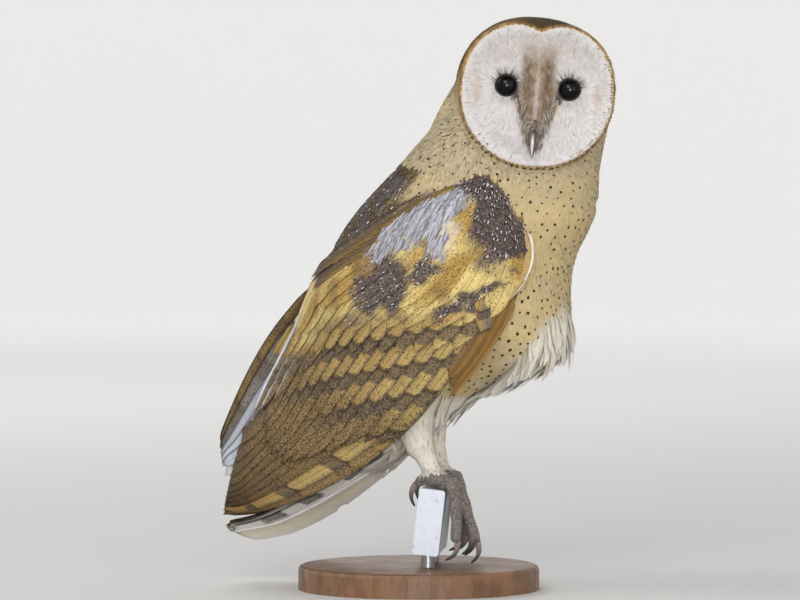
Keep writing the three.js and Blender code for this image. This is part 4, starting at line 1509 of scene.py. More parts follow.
def vane_arrays(made, paint, under, bake_cell):
    """One feather's arrays: corners, faces, normals, colours and maps, top and bottom sheet."""
    top, bottom = made["top"], made["under"]
    facing = unit(np.cross(np.gradient(top, axis=1), np.gradient(top, axis=0)))
    turn = -1 if facing.mean((0, 1)) @ (top.mean((0, 1)) - bottom.mean((0, 1))) < 0 else 1
    u, v = np.broadcast_arrays(WEB, made["v"][:, None])
    plume, fleck, bar, barring = paint(made["t"], made["s"], u, v)
    # Painted shade: each vane is darkened towards its edges and its tip, standing in for the shade where the
    # feathers overlap.
    rim = 0.22 * ramp(0.72, 1.0, np.abs(u)) + 0.3 * ramp(0.93, 1.0, v)
    plume = plume * (made["tone"] * (1 - rim))[..., None]
    low_plume = plume if under is None else under * (1 - 0.1 * np.abs(u))[..., None]
    faint = 1.0 if under is None else 0.3
    corner, size = bake_cell
    cell = np.stack([corner[0] + (u + 1) / 2 * size[0] * 0.9, corner[1] + v * size[1] * 0.96], -1)
    vane = np.stack([u, v * 1.6], -1)
    pairs = {
        "co": (top, bottom),
        "normals": (facing * turn, -facing * turn),
        "plume": (plume, low_plume),
        "fleck": (fleck, fleck * faint),
        "bar": (bar, bar),
        "barring": (barring, barring * faint),
        "vane": (vane, vane),
        "OFBake": (cell, cell),
    }
    flat = {key: np.stack(pair).reshape(-1, *pair[0].shape[2:]) for key, pair in pairs.items()}
    return {"tris": VANE_FACES[:, ::turn], **flat}


def shaft_arrays(made, colour, bake_cell, wide=0.75 * MM, keel=0.9):
    """The shaft: a slim three-sided spine along the middle of a vane, above it and below it."""
    both = []
    for sheet, other in (("top", "under"), ("under", "top")):
        ridge = made[sheet][:, WEB_COLUMNS // 2]
        facing = unit(ridge - made[other][:, WEB_COLUMNS // 2])
        side = unit(np.cross(facing, unit(np.gradient(ridge, axis=0))))
        half = (wide / 2 * (1 - 0.75 * made["v"]))[:, None]
        tall = half * (keel if sheet == "under" else 0.9)
        low = facing * half * 0.4
        ring = [ridge + side * half - low, ridge + facing * tall, ridge - side * half - low]
        co = np.concatenate([ridge[:1], np.stack(ring, 1)[1:-1].reshape(-1, 3), ridge[-1:]])
        around = np.stack([facing + side, facing, facing - side], 1)[1:-1].reshape(-1, 3)
        n = len(co)
        corner, size = bake_cell
        along = np.concatenate([[0], np.repeat(made["v"][1:-1], 3), [1]])
        strip = corner[0] + size[0] * (0.93 + 0.02 * (np.arange(n) % 3))
        both.append({
            "co": co,
            "tris": leaf_faces(len(ridge) - 2),
            "normals": unit(np.concatenate([facing[:1], around, facing[-1:]])),
            "plume": np.tile(colour, (n, 1)),
            **{key: np.zeros(n) for key in ("fleck", "bar", "barring")},
            "vane": np.stack([np.zeros(n), along], -1),
            "OFBake": np.stack([strip, corner[1] + along * size[1] * 0.96], -1),
        })
    return both


# %% The colours of the long feathers
BLOCK = srgb(170, 142, 88)
STRAW_BLOCK = srgb(182, 158, 100)
WEB_GREY = srgb(126, 112, 92)
WEB_BROWN = srgb(134, 110, 72)
TIP_BROWN = srgb(55, 38, 18)
# Painted shade for the part of a web that lies under the next feather's edge.
SHADED_INNER_WEB = srgb(92, 74, 50)
UNDERSIDE = srgb(214, 213, 216)
PALE_WEB = srgb(222, 228, 242)
SHAFT = srgb(120, 92, 60)
EDGE_GOLD, EDGE_PALE = srgb(196, 164, 108), srgb(232, 224, 206)
# The wing's bars: where the first is, how far apart they are and how they slant, as shares.
BAR_START, BAR_STEP, BAR_SLANT = 0.272, 0.097, 0.35


def middle_share(s):
    """One value of s for each row of a vane, so that its bars cross it squarely."""
    return np.broadcast_to(s[:, s.shape[1] // 2 : s.shape[1] // 2 + 1], s.shape)


def bar_count(t, s, u):
    return (t - BAR_SLANT * middle_share(s) - BAR_START + 0.006 * u * u) / BAR_STEP


def web_colour(t, s, u, gold_far):
    """Gold by the shaft, grey scribble to the outer edge, and browner towards the wing's tip."""
    gold = mix(BLOCK, STRAW_BLOCK, ramp(0.35, 0.1, s))
    near = ramp(-1.0, -0.5, u)
    colour = mix(WEB_GREY, gold, near)
    brown = ramp(0.55, 0.66, t) * (1 - gold_far)
    colour = mix(colour, WEB_BROWN, brown)
    colour = mix(colour, TIP_BROWN, ramp(0.70, 0.95, t) * (1 - 0.6 * gold_far))
    # Painted shade: the upper part of each web, which lies under the next feather's lower edge, is darkened.
    colour = mix(colour, SHADED_INNER_WEB, 0.75 * ramp(0.15, 0.6, u))
    fleck = (0.35 + 0.5 * (1 - near) + 0.5 * brown) * (1 - 0.6 * ramp(0.72, 0.92, t))
    return colour, np.clip(fleck, 0, 0.95)


def secondary_paint(t, s, u, v):
    colour, fleck = web_colour(t, s, u, 0.0)
    return colour, fleck, bar_count(t, s, u), ramp(0.72, 0.62, t) * 0.95


def primary_paint(gold):
    """Paint for a primary: its share of gold, against brown scribble."""

    def paint(t, s, u, v):
        colour, fleck = web_colour(t, s, u, gold)
        count = (t - 0.655) / 0.085 + 0.03 * u * u
        part = count % 1
        colour = mix(colour, RUST, 0.4 * gold * (0.4 + 0.6 * ramp(0.75, 0.95, t)))
        bar = np.floor(count) + np.where(part < 0.74, part * 0.7, 0.518 + (part - 0.74) * 1.85)
        barring = (0.2 + 0.8 * gold) * ramp(0.99, 0.93, t)
        return colour, fleck * (1 - 0.35 * gold), bar, barring

    return paint


def covert_paint(t, s, u, v):
    flat = on_wing(t, s, "right").reshape(-1, 3)
    colour, fleck, patch = wing_marks(t.ravel(), s.ravel(), flat, base_noise(flat))
    colour, fleck = colour.reshape(*t.shape, 3), fleck.reshape(t.shape)
    web, web_fleck = web_colour(t, s, u, 0.0)
    share = ramp(0.35, 0.43, t - 0.25 * (s - 0.3)) * (1 - patch.reshape(t.shape)) * ramp(0.8, 0.62, s)
    fleck = fleck * (1 - share) + web_fleck * share
    return mix(colour, web, share), fleck, bar_count(t, s, u), 0.9 * share


def tertial_paint(t, s, u, v):
    pale = ramp(-0.1, 0.25, u) * ramp(0.48, 0.6, t) * ramp(0.83, 0.76, t)
    pale = pale * ramp(0.74, 0.84, middle_share(s))
    colour = mix(mix(STRAW, WEB_BROWN, ramp(0.50, 0.60, t)), PALE_WEB, pale)
    fleck = 0.2 + 0.6 * ramp(0.5, 0.6, t) * (1 - pale)
    barring = 0.6 * ramp(0.52, 0.6, t) * (1 - pale)
    return colour, fleck * (1 - pale), bar_count(t, s, u), barring


def rust_paint(t, s, u, v):
    colour = mix(RUST, GOLD, 0.35 * ramp(0.3, -0.8, u))
    colour = mix(colour, WEB_BROWN, 0.8 * ramp(0.0, 0.8, u))
    return colour, 0.1 + 0.5 * ramp(0.0, 0.8, u), 0 * t, 0 * t


def alula_paint(t, s, u, v):
    colour = mix(GOLD, WEB_GREY, ramp(0.2, -0.6, u))
    return colour, 0.25 + 0 * t, v * 2.6 + 0.1, 0.95 + 0 * t


def edge_paint(t, s, u, v):
    return mix(EDGE_GOLD, EDGE_PALE, ramp(0.1, -0.5, u)), 0 * t, 0 * t, 0 * t


def mantle_paint(t, s, u, v):
    colour = mix(MANTLE, GOLD, 0.45 * ramp(-0.2, -0.9, u))
    colour = mix(colour, SCRIBBLE, 0.7 * ramp(0.55, 0.95, v))
    return colour, 0.25 + 0.6 * ramp(0.4, 0.9, v), 0 * t, 0 * t


def web_paint(pale):
    """Paint for the inner web of a wing feather: blue-white or olive, with a thin dark edge."""

    def paint(t, s, u, v):
        colour = mix(WEB_BROWN, PALE_WEB, pale + 0 * t)
        dark = 0.9 * ramp(0.8, 0.95, np.abs(u)) + 0.6 * (1 - pale) * ramp(0.7, 1, v)
        olive = 0.5 * (1 - pale) + 0 * t
        return mix(colour, TIP_BROWN, dark), olive, v * 5, olive

    return paint


# %% Laying out the wing
# A plan has a row for each long feather: its line as shares (t, s) at quill, middle and tip, its
# half widths below and above the shaft, its lift over the wing at those three places, how far its
# edges are roofed, all in millimetres, where its tip starts to round, and its paint.
# Rows of coverts: where they start and end along the wing (at s = 0, and more per s), the half
# widths, and how high the row lies over the one beneath it.
COVERT_ROWS = [
    ((0.20, 0.10), (0.415, 0.24), 4.8, 8.5, 0.5),
    ((0.16, 0.12), (0.345, 0.25), 5.2, 7.5, 0.9),
    ((0.11, 0.12), (0.285, 0.24), 5.4, 7.0, 1.2),
]
TERTIALS = [(0.70, 0.63), (0.78, 0.70), (0.86, 0.735), (0.93, 0.755)]  # level and tip of each
FAR_WEBS = [(1.0, 0.91, 0.0), (0.95, 0.94, 0.25), (0.88, 0.965, 0.9), (0.80, 0.98, 1.0), (0.70, 0.985, 1.0)]


def primaries():
    plan = []
    for i in range(10):  # from the leading edge upwards
        rise = i / 9
        middle = 0.035 + 0.80 * rise**0.85
        tip = (1.0 - 0.011 * i - 0.0012 * i * i, 0.16 + 0.76 * rise**0.6)
        line = [(0.52, 0.03 + 0.55 * rise), (0.76, middle * 0.94 + 0.02), tip]
        low = {0: 2.4, 1: 6.0}.get(i, 4.2)
        depth = -2.6 + 0.26 * i
        gold = {0: 0.25, 1: 1.0}.get(i, 0.0)
        plan.append((line, low, 11, (depth - 1, depth, depth + 0.3), 0.5, 0.86, primary_paint(gold)))
    return plan


def coverts():
    """Greater coverts, then rows of shorter ones over them."""
    plan = []
    for row, (first, last, low, high, rise) in enumerate(COVERT_ROWS):
        reach = (last[0] - first[0], last[1] - first[1])
        for k in range(13):
            s = 0.085 - 0.02 * row + 0.066 * k
            middle = first[0] + 0.6 * reach[0] + (first[1] + 0.6 * reach[1]) * s
            line = [(first[0] + first[1] * s, s + 0.03), (middle, s + 0.01), (last[0] + last[1] * s, s)]
            plan.append((line, low, high, (rise - 1.8, rise, rise + 0.5), 0.75, 0.72, covert_paint))
    return plan


def scapulars():
    """Two rows that lie along the wing's upper edge."""
    plan = []
    for row, level in enumerate((0.90, 0.965)):
        lifts = (0.4 + 0.8 * row, 1.5 + 0.9 * row, 1.5 + 0.8 * row)
        for k in range(11):
            t = 0.004 + 0.033 * k - 0.012 * row
            line = [(max(t, 0), level - 0.05), (t + 0.05, level), (t + 0.12, level + 0.02)]
            plan.append((line, 4.6, 4.8, lifts, 0.3, 0.7, mantle_paint))
    return plan


def wing_feathers():
    """The plan of a wing, from the lowest feathers to the ones that lie on top."""
    plan = primaries()
    for j in range(13):  # secondaries
        s = 0.055 + 0.060 * j
        tip_t = float(0.665 + 0.115 * ramp(0, 6, j) - 0.03 * ramp(9, 12, j))
        line = [(0.30, s + 0.02), (0.52, s), (tip_t, s - 0.01)]
        plan.append((line, 4.4, 9.5, (-2.2, -0.5, 0.2), 0.75, 0.88, secondary_paint))
    for s, tip_t in TERTIALS:
        line = [(0.34, s - 0.02), (0.5, s), (tip_t, s)]
        plan.append((line, 7, 8, (-1.4, 0.3, 0.7), 0.6, 0.8, tertial_paint))
    for k in range(3):  # smooth rusty primary coverts by the leading edge
        s = -0.03 + 0.028 * k
        line = [(0.27, s + 0.07), (0.42, s + 0.01), (0.545 - 0.02 * k, s)]
        plan.append((line, 2.6, 4.4, (-1, 0.5, 0.7), 0.4, 0.8, rust_paint))
    plan += coverts() + scapulars()
    alula = [(0.27, 0.20), (0.33, 0.13), (0.385, 0.035)]
    plan.append((alula, 4.6, 4.8, (0, 1.5, 1.8), 0.2, 0.75, alula_paint))
    pale_edge = [(0.11, 0.05), (0.19, -0.012), (0.31, 0.03)]
    plan.append((pale_edge, 2.2, 3.4, (1.0, 2.0, 1.4), 0, 0.7, edge_paint))
    return plan


def far_inner_webs():
    """Long smooth feathers under the left wing's upper edge, which show past the right wing."""
    plan = []
    for k, (s, end, pale) in enumerate(FAR_WEBS):
        line = [(0.46, s - 0.02), (0.70, s), (end, s - 0.03)]
        plan.append((line, 5, 4.6, (-1.6 - 0.5 * k,) * 3, 0.2, 0.86, web_paint(pale)))
    return plan


PLUMAGE_FLIGHT = plumage("plumage_flight", scribble=1.1, barbs=0.8, rough=0.6, sheen=0.01, bump_depth=0.2)


def flight_feathers(side, seed):
    rng = np.random.default_rng(seed)
    plan = wing_feathers()
    inner = far_inner_webs() if side == "left" else []
    parts = []
    count = len(plan) + len(inner)
    columns = int(np.ceil(np.sqrt(count * 3)))
    rows = int(np.ceil(count / columns))
    for n, (line, low, high, lifts, roof, tip_from, paint) in enumerate(plan + inner):
        plain = n >= len(plan)
        lifts, nicks = MM * np.array(lifts), 0 if plain else 3
        made = long_vane(side, line, low * MM, high * MM, lifts, roof * MM, rng, tip_from, nicks=nicks)
        cell = ((n % columns / columns, n // columns / rows), (1 / columns, 1 / rows))
        parts.append(vane_arrays(made, paint, None if plain else UNDERSIDE, cell))
        parts += shaft_arrays(made, SHAFT, cell)
    return joined(parts, f"flight_feathers_{side}", PLUMAGE_FLIGHT, "plumage_wing", f"wing_{side}_primaries")


flight = {side: flight_feathers(side, 100 + n) for n, side in enumerate(SIDES)}


# %% The small coverts of the shoulder
tri_t, tri_s = np.zeros(len(centres)), np.zeros(len(centres))
wing_rows = np.flatnonzero(is_part(tri_parts, "wing"))
tri_t[wing_rows], tri_s[wing_rows], wing_gap = in_wing(centres[wing_rows])
on_wing_outside = np.zeros(len(centres), bool)
on_wing_outside[wing_rows] = wing_gap < 4 * MM
on_lesser = on_wing_outside & (tri_t < 0.22 + 0.14 * tri_s)
on_wing_inside = is_part(tri_parts, "wing") & ~on_wing_outside


def lesser_coat(side):
    """The small soft feathers of the shoulder, over the roots of the larger coverts."""
    here = on_lesser & ((centres[:, 0] < 0) == (side == "right"))
    made = plain_coat(here, 1.45 * MM, 0.0105, 2.6 * MM, 0.3 * MM, 111, outline=(0.8, 1.0, 0.85),
                      thick=0.1 * MM, stray=0.08, bend=0.05, crown=0.12)
    raised = 1.1 * MM * ramp(0.1, 0.6, made["along"])
    made["co"] += made["facing"][:, None] * raised[..., None]
    return [(made, *dressed(made, 112, base=None, vary=0.07))]


for side in SIDES:
    gather(lesser_coat(side), f"coat_lesser_{side}", PLUMAGE_BACK, "plumage_wing", "wing")


# %% White streaks in the dark patches
LOCK_PALE, LOCK_DARK = srgb(190, 190, 198), srgb(98, 96, 106)
LOCK_TRIES = 2000


def along_wing(t, s, side, rise=0.0):
    """The way towards the wing's tip, falling to its lower edge by a share for each step."""
    return unit(on_wing(t + 0.02, s - 2 * rise, side) - on_wing(t - 0.01, s + rise, side))


def wing_surface(side):
    """The finished outer face of a wing, to lay marks on."""
    return surface_of(flight[side].data, bpy.data.objects[f"coat_lesser_{side}"].data)


def streaks(tree, side, seed, rng):
    """Pale dashes edged with black, one on the tip of a feather here and there in each patch."""
    t, s = grid_of(np.arange(0.03, 0.46, 0.015), np.arange(0.04, 0.98, 0.038))
    t = t + rng.uniform(-0.008, 0.008, len(t))
    s = s + rng.uniform(-0.018, 0.018, len(s))
    same_place = on_wing(t, s, "right")
    patch = wing_marks(t, s, same_place, base_noise(same_place))[2]
    keep = (patch > 0.45) & (rng.random(len(t)) < 0.6)
    t, s = t[keep], s[keep]
    at = on_wing(t, s, side)
    at, good = outside_of(tree, at, on_ground(at)[1])
    way = along_wing(t, s, side)[good]
    dark = marks_on(tree, at, way, 3.4 * MM, 1.4 * MM, RIM_DARK, seed, 0.1 * MM)
    grows = rng.uniform(0.6, 1.15, len(at)) * MM
    tones = mix(SNOW, SCRIBBLE, 0.55 * rng.random(len(at)))
    at = at + way * 0.5 * MM
    return [dark, marks_on(tree, at, way, 2.4 * grows, 0.65 * grows, tones, seed + 1, 0.3 * MM)]


def silver_locks(tree, side, seed, rng):
    """Long thin silver and grey locks over the silver patch."""
    t, s = rng.uniform(0.05, 0.3, LOCK_TRIES), rng.uniform(0.35, 0.95, LOCK_TRIES)
    a, b = wing_measures(t, s)
    silver = np.maximum(spot(a, b, *SILVER_PATCH), spot(a, b, *SNOW_PATCH))
    keep = silver > rng.uniform(0.3, 1, LOCK_TRIES)
    t, s = t[keep], s[keep]
    at = on_wing(t, s, side)
    at, good = outside_of(tree, at, on_ground(at)[1])
    way = along_wing(t, s, side, 0.01)[good]
    shades = mix(LOCK_PALE, LOCK_DARK, rng.random(len(at)) ** 1.3)
    return marks_on(tree, at, way, 12 * MM, 0.9 * MM, shades, seed, fleck=0.15)


def streak_coat(side, seed):
    rng = np.random.default_rng(seed)
    tree = wing_surface(side)
    return [*streaks(tree, side, seed, rng), silver_locks(tree, side, seed + 2, rng)]


for n, side in enumerate(SIDES):
    gather(streak_coat(side, 131 + 2 * n), f"streaks_{side}", PLUMAGE_BACK, "plumage_wing", "wing")


def lining_coat():
    """Sparse pale feathers on the wings' inner faces."""
    inside = on_wing_inside & (tri_t < 0.55)
    made = plain_coat(inside, 3.6 * MM, 0.011, 4.5 * MM, 0.1 * MM, 121, outline=(0.8, 1.0, 0.8),
                      thick=0.22 * MM, climb=2.6)
    return [(made, np.broadcast_to(FLUFF, made["co"].shape), np.zeros_like(made["along"]))]


gather(lining_coat(), "coat_lining", PLUMAGE_DOWN, "plumage_wing", "body")


# %% [markdown]
# ## The tail
#
# Twelve feathers make a closed tail: the middle pair lies on top and the outer ones under it, each
# a little lower. From the right side the outermost vane shows as a pale band with a white shaft,
# dark bars on its inner web and a cream outer web, so those feathers are made whole and fanned.

# %% Tail feathers
TAIL_LINE = MM * np.array(
    [(0, 8, 88), (0, 23, 77), (0, 43, 64), (0, 66, 50.5), (0, 94, 37.5), (0, 125.5, 30.6)]
)
TAIL_ROLL = np.radians(12)
TAIL_ROOT_HALF, TAIL_TIP_HALF = 12 * MM, 26 * MM
TAIL_ACROSS = np.array([np.cos(TAIL_ROLL), 0, -np.sin(TAIL_ROLL)])
TAIL_START = 0.12
TAIL_PAIRS = 6


def tail_half(t):
    return TAIL_ROOT_HALF + (TAIL_TIP_HALF - TAIL_ROOT_HALF) * ramp(0, 0.75, t)


def on_tail(t, x, lift):
    """Points on the tail's upper face: t along it, x from -1 (right) to 1 (left), lift above it."""
    t, x, lift = np.broadcast_arrays(*(np.asarray(v, float) for v in (t, x, lift)))
    flat = np.clip(t.ravel(), 0, 1)
    p, q = smooth_line(TAIL_LINE, flat), smooth_line(TAIL_LINE, np.clip(flat + 0.01, 0, 1.0))
    back = smooth_line(TAIL_LINE, np.clip(flat - 0.01, 0, 1))
    ahead = unit(q - back)
    up = unit(np.cross(np.array([1.0, 0, 0]), ahead))
    up = np.where(up[:, 2:] < 0, -up, up)
    x, lift = x.ravel(), lift.ravel()
    p = p + TAIL_ACROSS * (tail_half(flat) * x)[:, None] + up * (lift - 2.4 * MM * x * x)[:, None]
    p = p + ahead * ((7 * x + 4 * x * x) * MM * ramp(0.6, 1, flat))[:, None]
    return p.reshape(*t.shape, 3)


# The bar count at places along a tail feather.
TAIL_BARS = ((0.02, 0.284, 0.564, 0.751, 1.0), (0.76, 1.76, 2.76, 3.76, 4.45))
TAIL_WHITE, TAIL_CREAM, TAIL_BUFF = srgb(232, 228, 224), srgb(214, 204, 180), srgb(168, 142, 92)
WHITE_SHAFT = srgb(252, 251, 248)


def tail_paint(outer):
    """Paint for a tail feather. Its outer web is where u is negative; outer is how pale it is."""

    def paint(t, x, u, v):
        cream = mix(TAIL_CREAM, TAIL_WHITE, ramp(-0.5, -0.95, u))
        outward = ramp(0.05, -0.05, u)
        colour = mix(mix(TAIL_BUFF, TAIL_WHITE, outer), mix(TAIL_BUFF, cream, outer), outward)
        barring = (1 - outer * outward) * 0.95 * ramp(0.99, 0.9, v)
        return colour, 0.06 + 0.45 * (1 - outer) + 0 * t, np.interp(v, *TAIL_BARS) + 0.05 * u * u, barring

    return paint


def tail_vane(x, end, lift, outer_half, inner_half, rng, sign):
    """Corner points of one tail feather at a share x across the tail."""
    v = np.linspace(0, 1, VANE_ROWS)
    outline = vane_outline(v, 0.9, 2, rng)
    t = TAIL_START + (end - TAIL_START) * v
    wide = tail_half(t)
    grows = wide / TAIL_TIP_HALF
    half = np.where(WEB < 0, outer_half, inner_half) * (outline * grows)[:, None]
    across = x + sign * WEB * half / wide[:, None]
    along = np.broadcast_to(t[:, None], across.shape) - 0.02 * np.abs(WEB) * ramp(0.5, 1, v)[:, None]
    stand = lift - 0.5 * MM * WEB**2 + 0 * across
    top = on_tail(along, across, stand)
    under = on_tail(along, across, stand - web_thickness(v))
    return {"top": top, "under": under, "t": along, "s": across, "v": v, "tone": rng.uniform(0.95, 1.04)}


def tail_feathers():
    """The six pairs, from the middle outwards, each with a white or brown shaft."""
    rng = np.random.default_rng(140)
    parts = []
    cells = 2 * TAIL_PAIRS
    for number in range(cells):
        rank, side = number // 2, (-1, 1)[number % 2]
        outer = float(ramp(0.3, 0.75, (rank + 0.4) / TAIL_PAIRS))
        lift = (1.5 - 0.62 * rank + 1.0 * (side < 0)) * MM
        end = 1.0 - 0.012 * rank / TAIL_PAIRS
        halves = ((20.5 + 0.58 * rank) * MM, (20 + 0.4 * rank) * MM)
        made = tail_vane(side * 0.016 * rank, end, lift, *halves, rng, -side)
        cell = ((number / cells, 0.0), (1 / cells, 1.0))
        parts.append(vane_arrays(made, tail_paint(outer), None, cell))
        wide, keel = (2.3 * MM, 2.9) if rank == TAIL_PAIRS - 1 else (1.4 * MM, 0.9)
        parts += shaft_arrays(made, mix(SHAFT, WHITE_SHAFT, outer), cell, wide, keel)
    return joined(parts, "tail_feathers", PLUMAGE_FLIGHT, "plumage_tail", "tail")


tail_feathers()


# %% Fluff under and along the tail
def tail_fluff():
    """Soft under-tail coverts: locks that leave the belly's end and lie under the tail."""
    rng = np.random.default_rng(150)
    n = 520
    t, x = rng.uniform(0.02, 0.16, n), rng.uniform(-0.85, 0.85, n)
    roots = on_tail(t, x, -2.6 * MM)
    ahead = unit(on_tail(t + 0.03, x, -2.6 * MM) - roots)
    facing = unit(on_tail(t, x, -1 * MM) - on_tail(t, x, 1 * MM))
    made = free_leaves(roots, facing, ahead, 0.017, 1.1 * MM, (0.8, 1.0, 0.9, 0.55), 151,
                       arch=1.4 * MM, lean=0.15)
    return [(made, *pale_down(made, 152))]


gather(tail_fluff(), "coat_under_tail", PLUMAGE_DOWN, "plumage_thigh", "body")


# %% [markdown]
# ## Lids, eyes, bill and claws
#
# An owl's eye is almost black and hardly turns, and short lids frame it, bare at their very edge.
# The lids are turned rings on the eye's own axis. The bill and the claws are horn: a curved taper
# with a ridge along its top, finely streaked. The bill is lofted along its curve with an even grid,
# and each claw is the frame's taper, rounded.

# %% Horn
def horn_material(name, streaks, rough=0.34):
    """Horn takes its colour from the piece, with fine streaks along it and a soft polish."""
    material, w, shader = new_finish(name)
    grain = w.node("ShaderNodeUVMap", uv_map="OFBake").outputs["UV"]
    fine = w.noise(w.stretched(grain, (streaks, 1.2, 1)), 14, 3)
    cloudy = w.noise(w.place(), 420)
    tone = w.plus(0.72, w.plus(w.times(fine, 0.34), w.times(cloudy, 0.22)))
    w.feed(shader.inputs["Base Color"], w.toned(w.attribute("plume"), tone))
    w.feed(shader.inputs["Roughness"], w.plus(rough - 0.08, w.times(fine, 0.2)))
    w.press(shader, fine, 0.12 * MM, 0.5)
    return material


def with_ends(rings):
    """The rows of all rings in one list, followed by the mean of the first ring and of the last."""
    return np.concatenate([rings.reshape(-1, 3), rings[[0, -1]].mean(1)])


def grid_mesh(name, rings, colours):
    """A closed mesh from rings of points (stations, around, 3), with a point at each end."""
    stations, around = rings.shape[:2]
    co = with_ends(rings)
    first, end = stations * around, (stations - 1) * around
    c = np.arange(around)
    d = (c + 1) % around
    ends = np.stack([0 * c + first, d, c, 0 * c + first + 1, end + c, end + d], 1).reshape(-1, 3)
    faces = np.concatenate([tube_faces(stations, around), ends])
    spine = rings.mean(1)[np.clip(faces[:, 0] // around, 0, stations - 1)]
    if ((co[faces].mean(1) - spine) * face_normals(co, faces)).sum() < 0:
        faces = faces[:, ::-1]
    v, u = grid_of(np.linspace(0, 1, stations), np.linspace(0, 1, around))
    uv = np.concatenate([np.stack([u, v], 1), [[0.5, 0]], [[0.5, 1]]])
    return mesh_of(name, co, faces, maps={"OFBake": uv}, plume=with_ends(colours))


def bezier(root, knee, tip, t):
    root, knee, tip = (np.asarray(p, float) for p in (root, knee, tip))
    t = t[:, None]
    p = root * (1 - t) ** 2 + knee * 2 * t * (1 - t) + tip * t**2
    return p, unit((knee - root) * 2 * (1 - t) + (tip - knee) * 2 * t)


BILL_HORN = horn_material("bill_horn", 5)
# The horn's colours: the pale one along the ridge holds a painted highlight, and the grey and dark ones on
# the sides hold painted shade, as well as the horn's own tones.
PALE_HORN_AND_HIGHLIGHT = srgb(208, 198, 198)
GREY_HORN_AND_SHADE = srgb(78, 66, 64)
DARK_HORN_AND_SHADE = srgb(52, 44, 44)


# Each half of the bill: root, knee and tip in the head's frame, and its half size, in millimetres.
UPPER_BILL = ("top", "upper", ((0, -25.6, -18.4), (0, -39.0, -24.2), (0, -34.6, -37.0)), 3.7)
LOWER_BILL = ("under", "lower", ((0, -30, -20), (0, -33.5, -25.5), (0, -33, -31.5)), 2.2)
SIDEWAYS = np.array([1.0, 0, 0])


def bill(half, solid, line, wide):
    """A narrow hook: high and ridged at its root, drawn down over the lower half at its tip."""
    stations, around = 30, 28
    t = np.linspace(0, 1, stations)
    p, ahead = bezier(*(MM * np.array(v) for v in line), t)
    size = wide * MM * (1 - t**2.1) ** 0.85 + 0.22 * MM
    up = unit(np.cross(SIDEWAYS, ahead))
    a = np.arange(around) * 2 * np.pi / around
    x = np.sign(np.cos(a)) * np.abs(np.cos(a)) ** 1.15 * 0.80
    ridge = np.sin(a) + 0.16 * bump(np.abs(np.sin(a)) - 1, 0.25) * np.sign(np.sin(a))
    section = x[None, :, None] * SIDEWAYS + ridge[None, :, None] * up[:, None]
    rings = p[:, None] + size[:, None, None] * section
    front = -up[:, 1:2] * np.sin(a)[None] if half == "top" else np.zeros((stations, around))
    # Pale along the ridge, darker on the sides and most towards the tip: the horn's own tones with a painted
    # highlight on the ridge and painted shade on the sides.
    culmen_and_highlight = ramp(0.8, 0.99, front)
    colours = mix(GREY_HORN_AND_SHADE, PALE_HORN_AND_HIGHLIGHT, culmen_and_highlight)
    colours = mix(colours, DARK_HORN_AND_SHADE, ramp(0.5, 0.0, culmen_and_highlight) * ramp(0.5, 1, t)[:, None] * 0.5)
    name = f"bill_{half}"
    mesh = grid_mesh(name, from_head(rings.reshape(-1, 3)).reshape(rings.shape), colours)
    piece_of(name, mesh, BILL_HORN, "bill_horn", f"bill_{solid}")


bill(*UPPER_BILL)
bill(*LOWER_BILL)


# %% Lids
def lid_material():
    """Bare lid skin: soft, finely creased, and darker in its hollows as painted shade."""
    material, w, shader = new_finish("lid_skin", Roughness=0.6)
    crease_and_shade = w.noise(w.place(), 1500, 3)
    # Painted shade: the colour darkens where the creases sink.
    tone = w.plus(0.75, w.times(crease_and_shade, 0.5))
    w.feed(shader.inputs["Base Color"], w.toned(w.attribute("plume"), tone))
    w.press(shader, crease_and_shade, 0.1 * MM)
    return material


LID_SKIN = lid_material()
LID_EDGE = srgb(22, 16, 16)
LID_PALE = srgb(34, 26, 27)
# The lid's section, as millimetres out from the opening's edge and forward of it.
LID_SECTION = [(0.0, -0.15), (0.04, 0.16), (0.16, 0.28), (0.3, 0.2), (0.5, -0.1), (1.0, -0.9)]
LID_BACK = [(0.9, -2.2), (0.7, -1.9), (0.4, -1.0)]
LID_PALE_ROWS = (2, 3)


def lids(side, sign):
    """One eye's lids: a ring of their section, a little narrower above and below."""
    around, count = 56, len(LID_SECTION) + len(LID_BACK)
    a = np.arange(around) * 2 * np.pi / around
    narrow = 0.05 * np.maximum(0, np.cos(a)) ** 2 + 0.02 * np.maximum(0, -np.cos(a)) ** 2
    opening = LID_OPENING * (1 - narrow)
    rings = []
    for out, ahead in LID_SECTION + LID_BACK:
        r = opening + out * MM
        level = EYE_FORWARD + np.sqrt(EYE_RADIUS**2 - opening**2) + ahead * MM
        rings.append(across_face(sign * EYE_OUT + r * np.sin(a), EYE_UP + r * np.cos(a), -level))
    co = from_head(np.concatenate(rings))
    shades = np.array([LID_PALE if k in LID_PALE_ROWS else LID_EDGE for k in range(count)])
    faces = tube_faces(count, around, closed=True)
    outer = faces.max(1) < len(LID_SECTION) * around
    if (face_normals(co, faces)[outer] @ INTO_FACE).sum() > 0:
        faces = faces[:, ::-1]
    v, u = grid_of(np.arange(count) / count, np.arange(around) / around)
    plume = np.repeat(shades, around, axis=0)
    maps = {"OFBake": np.stack([u, v], 1)}
    mesh = mesh_of(f"lids_{side}", co, faces, maps=maps, plume=plume)
    piece_of(f"lids_{side}", mesh, LID_SKIN, "plumage_head")


for side, sign in SIDES.items():
    lids(side, sign)

# %% Claws
CLAW_HORN = horn_material("claw_horn", 3, 0.3)
CLAW_ROOT = srgb(120, 108, 104)
CLAW_TIP = srgb(46, 40, 40)


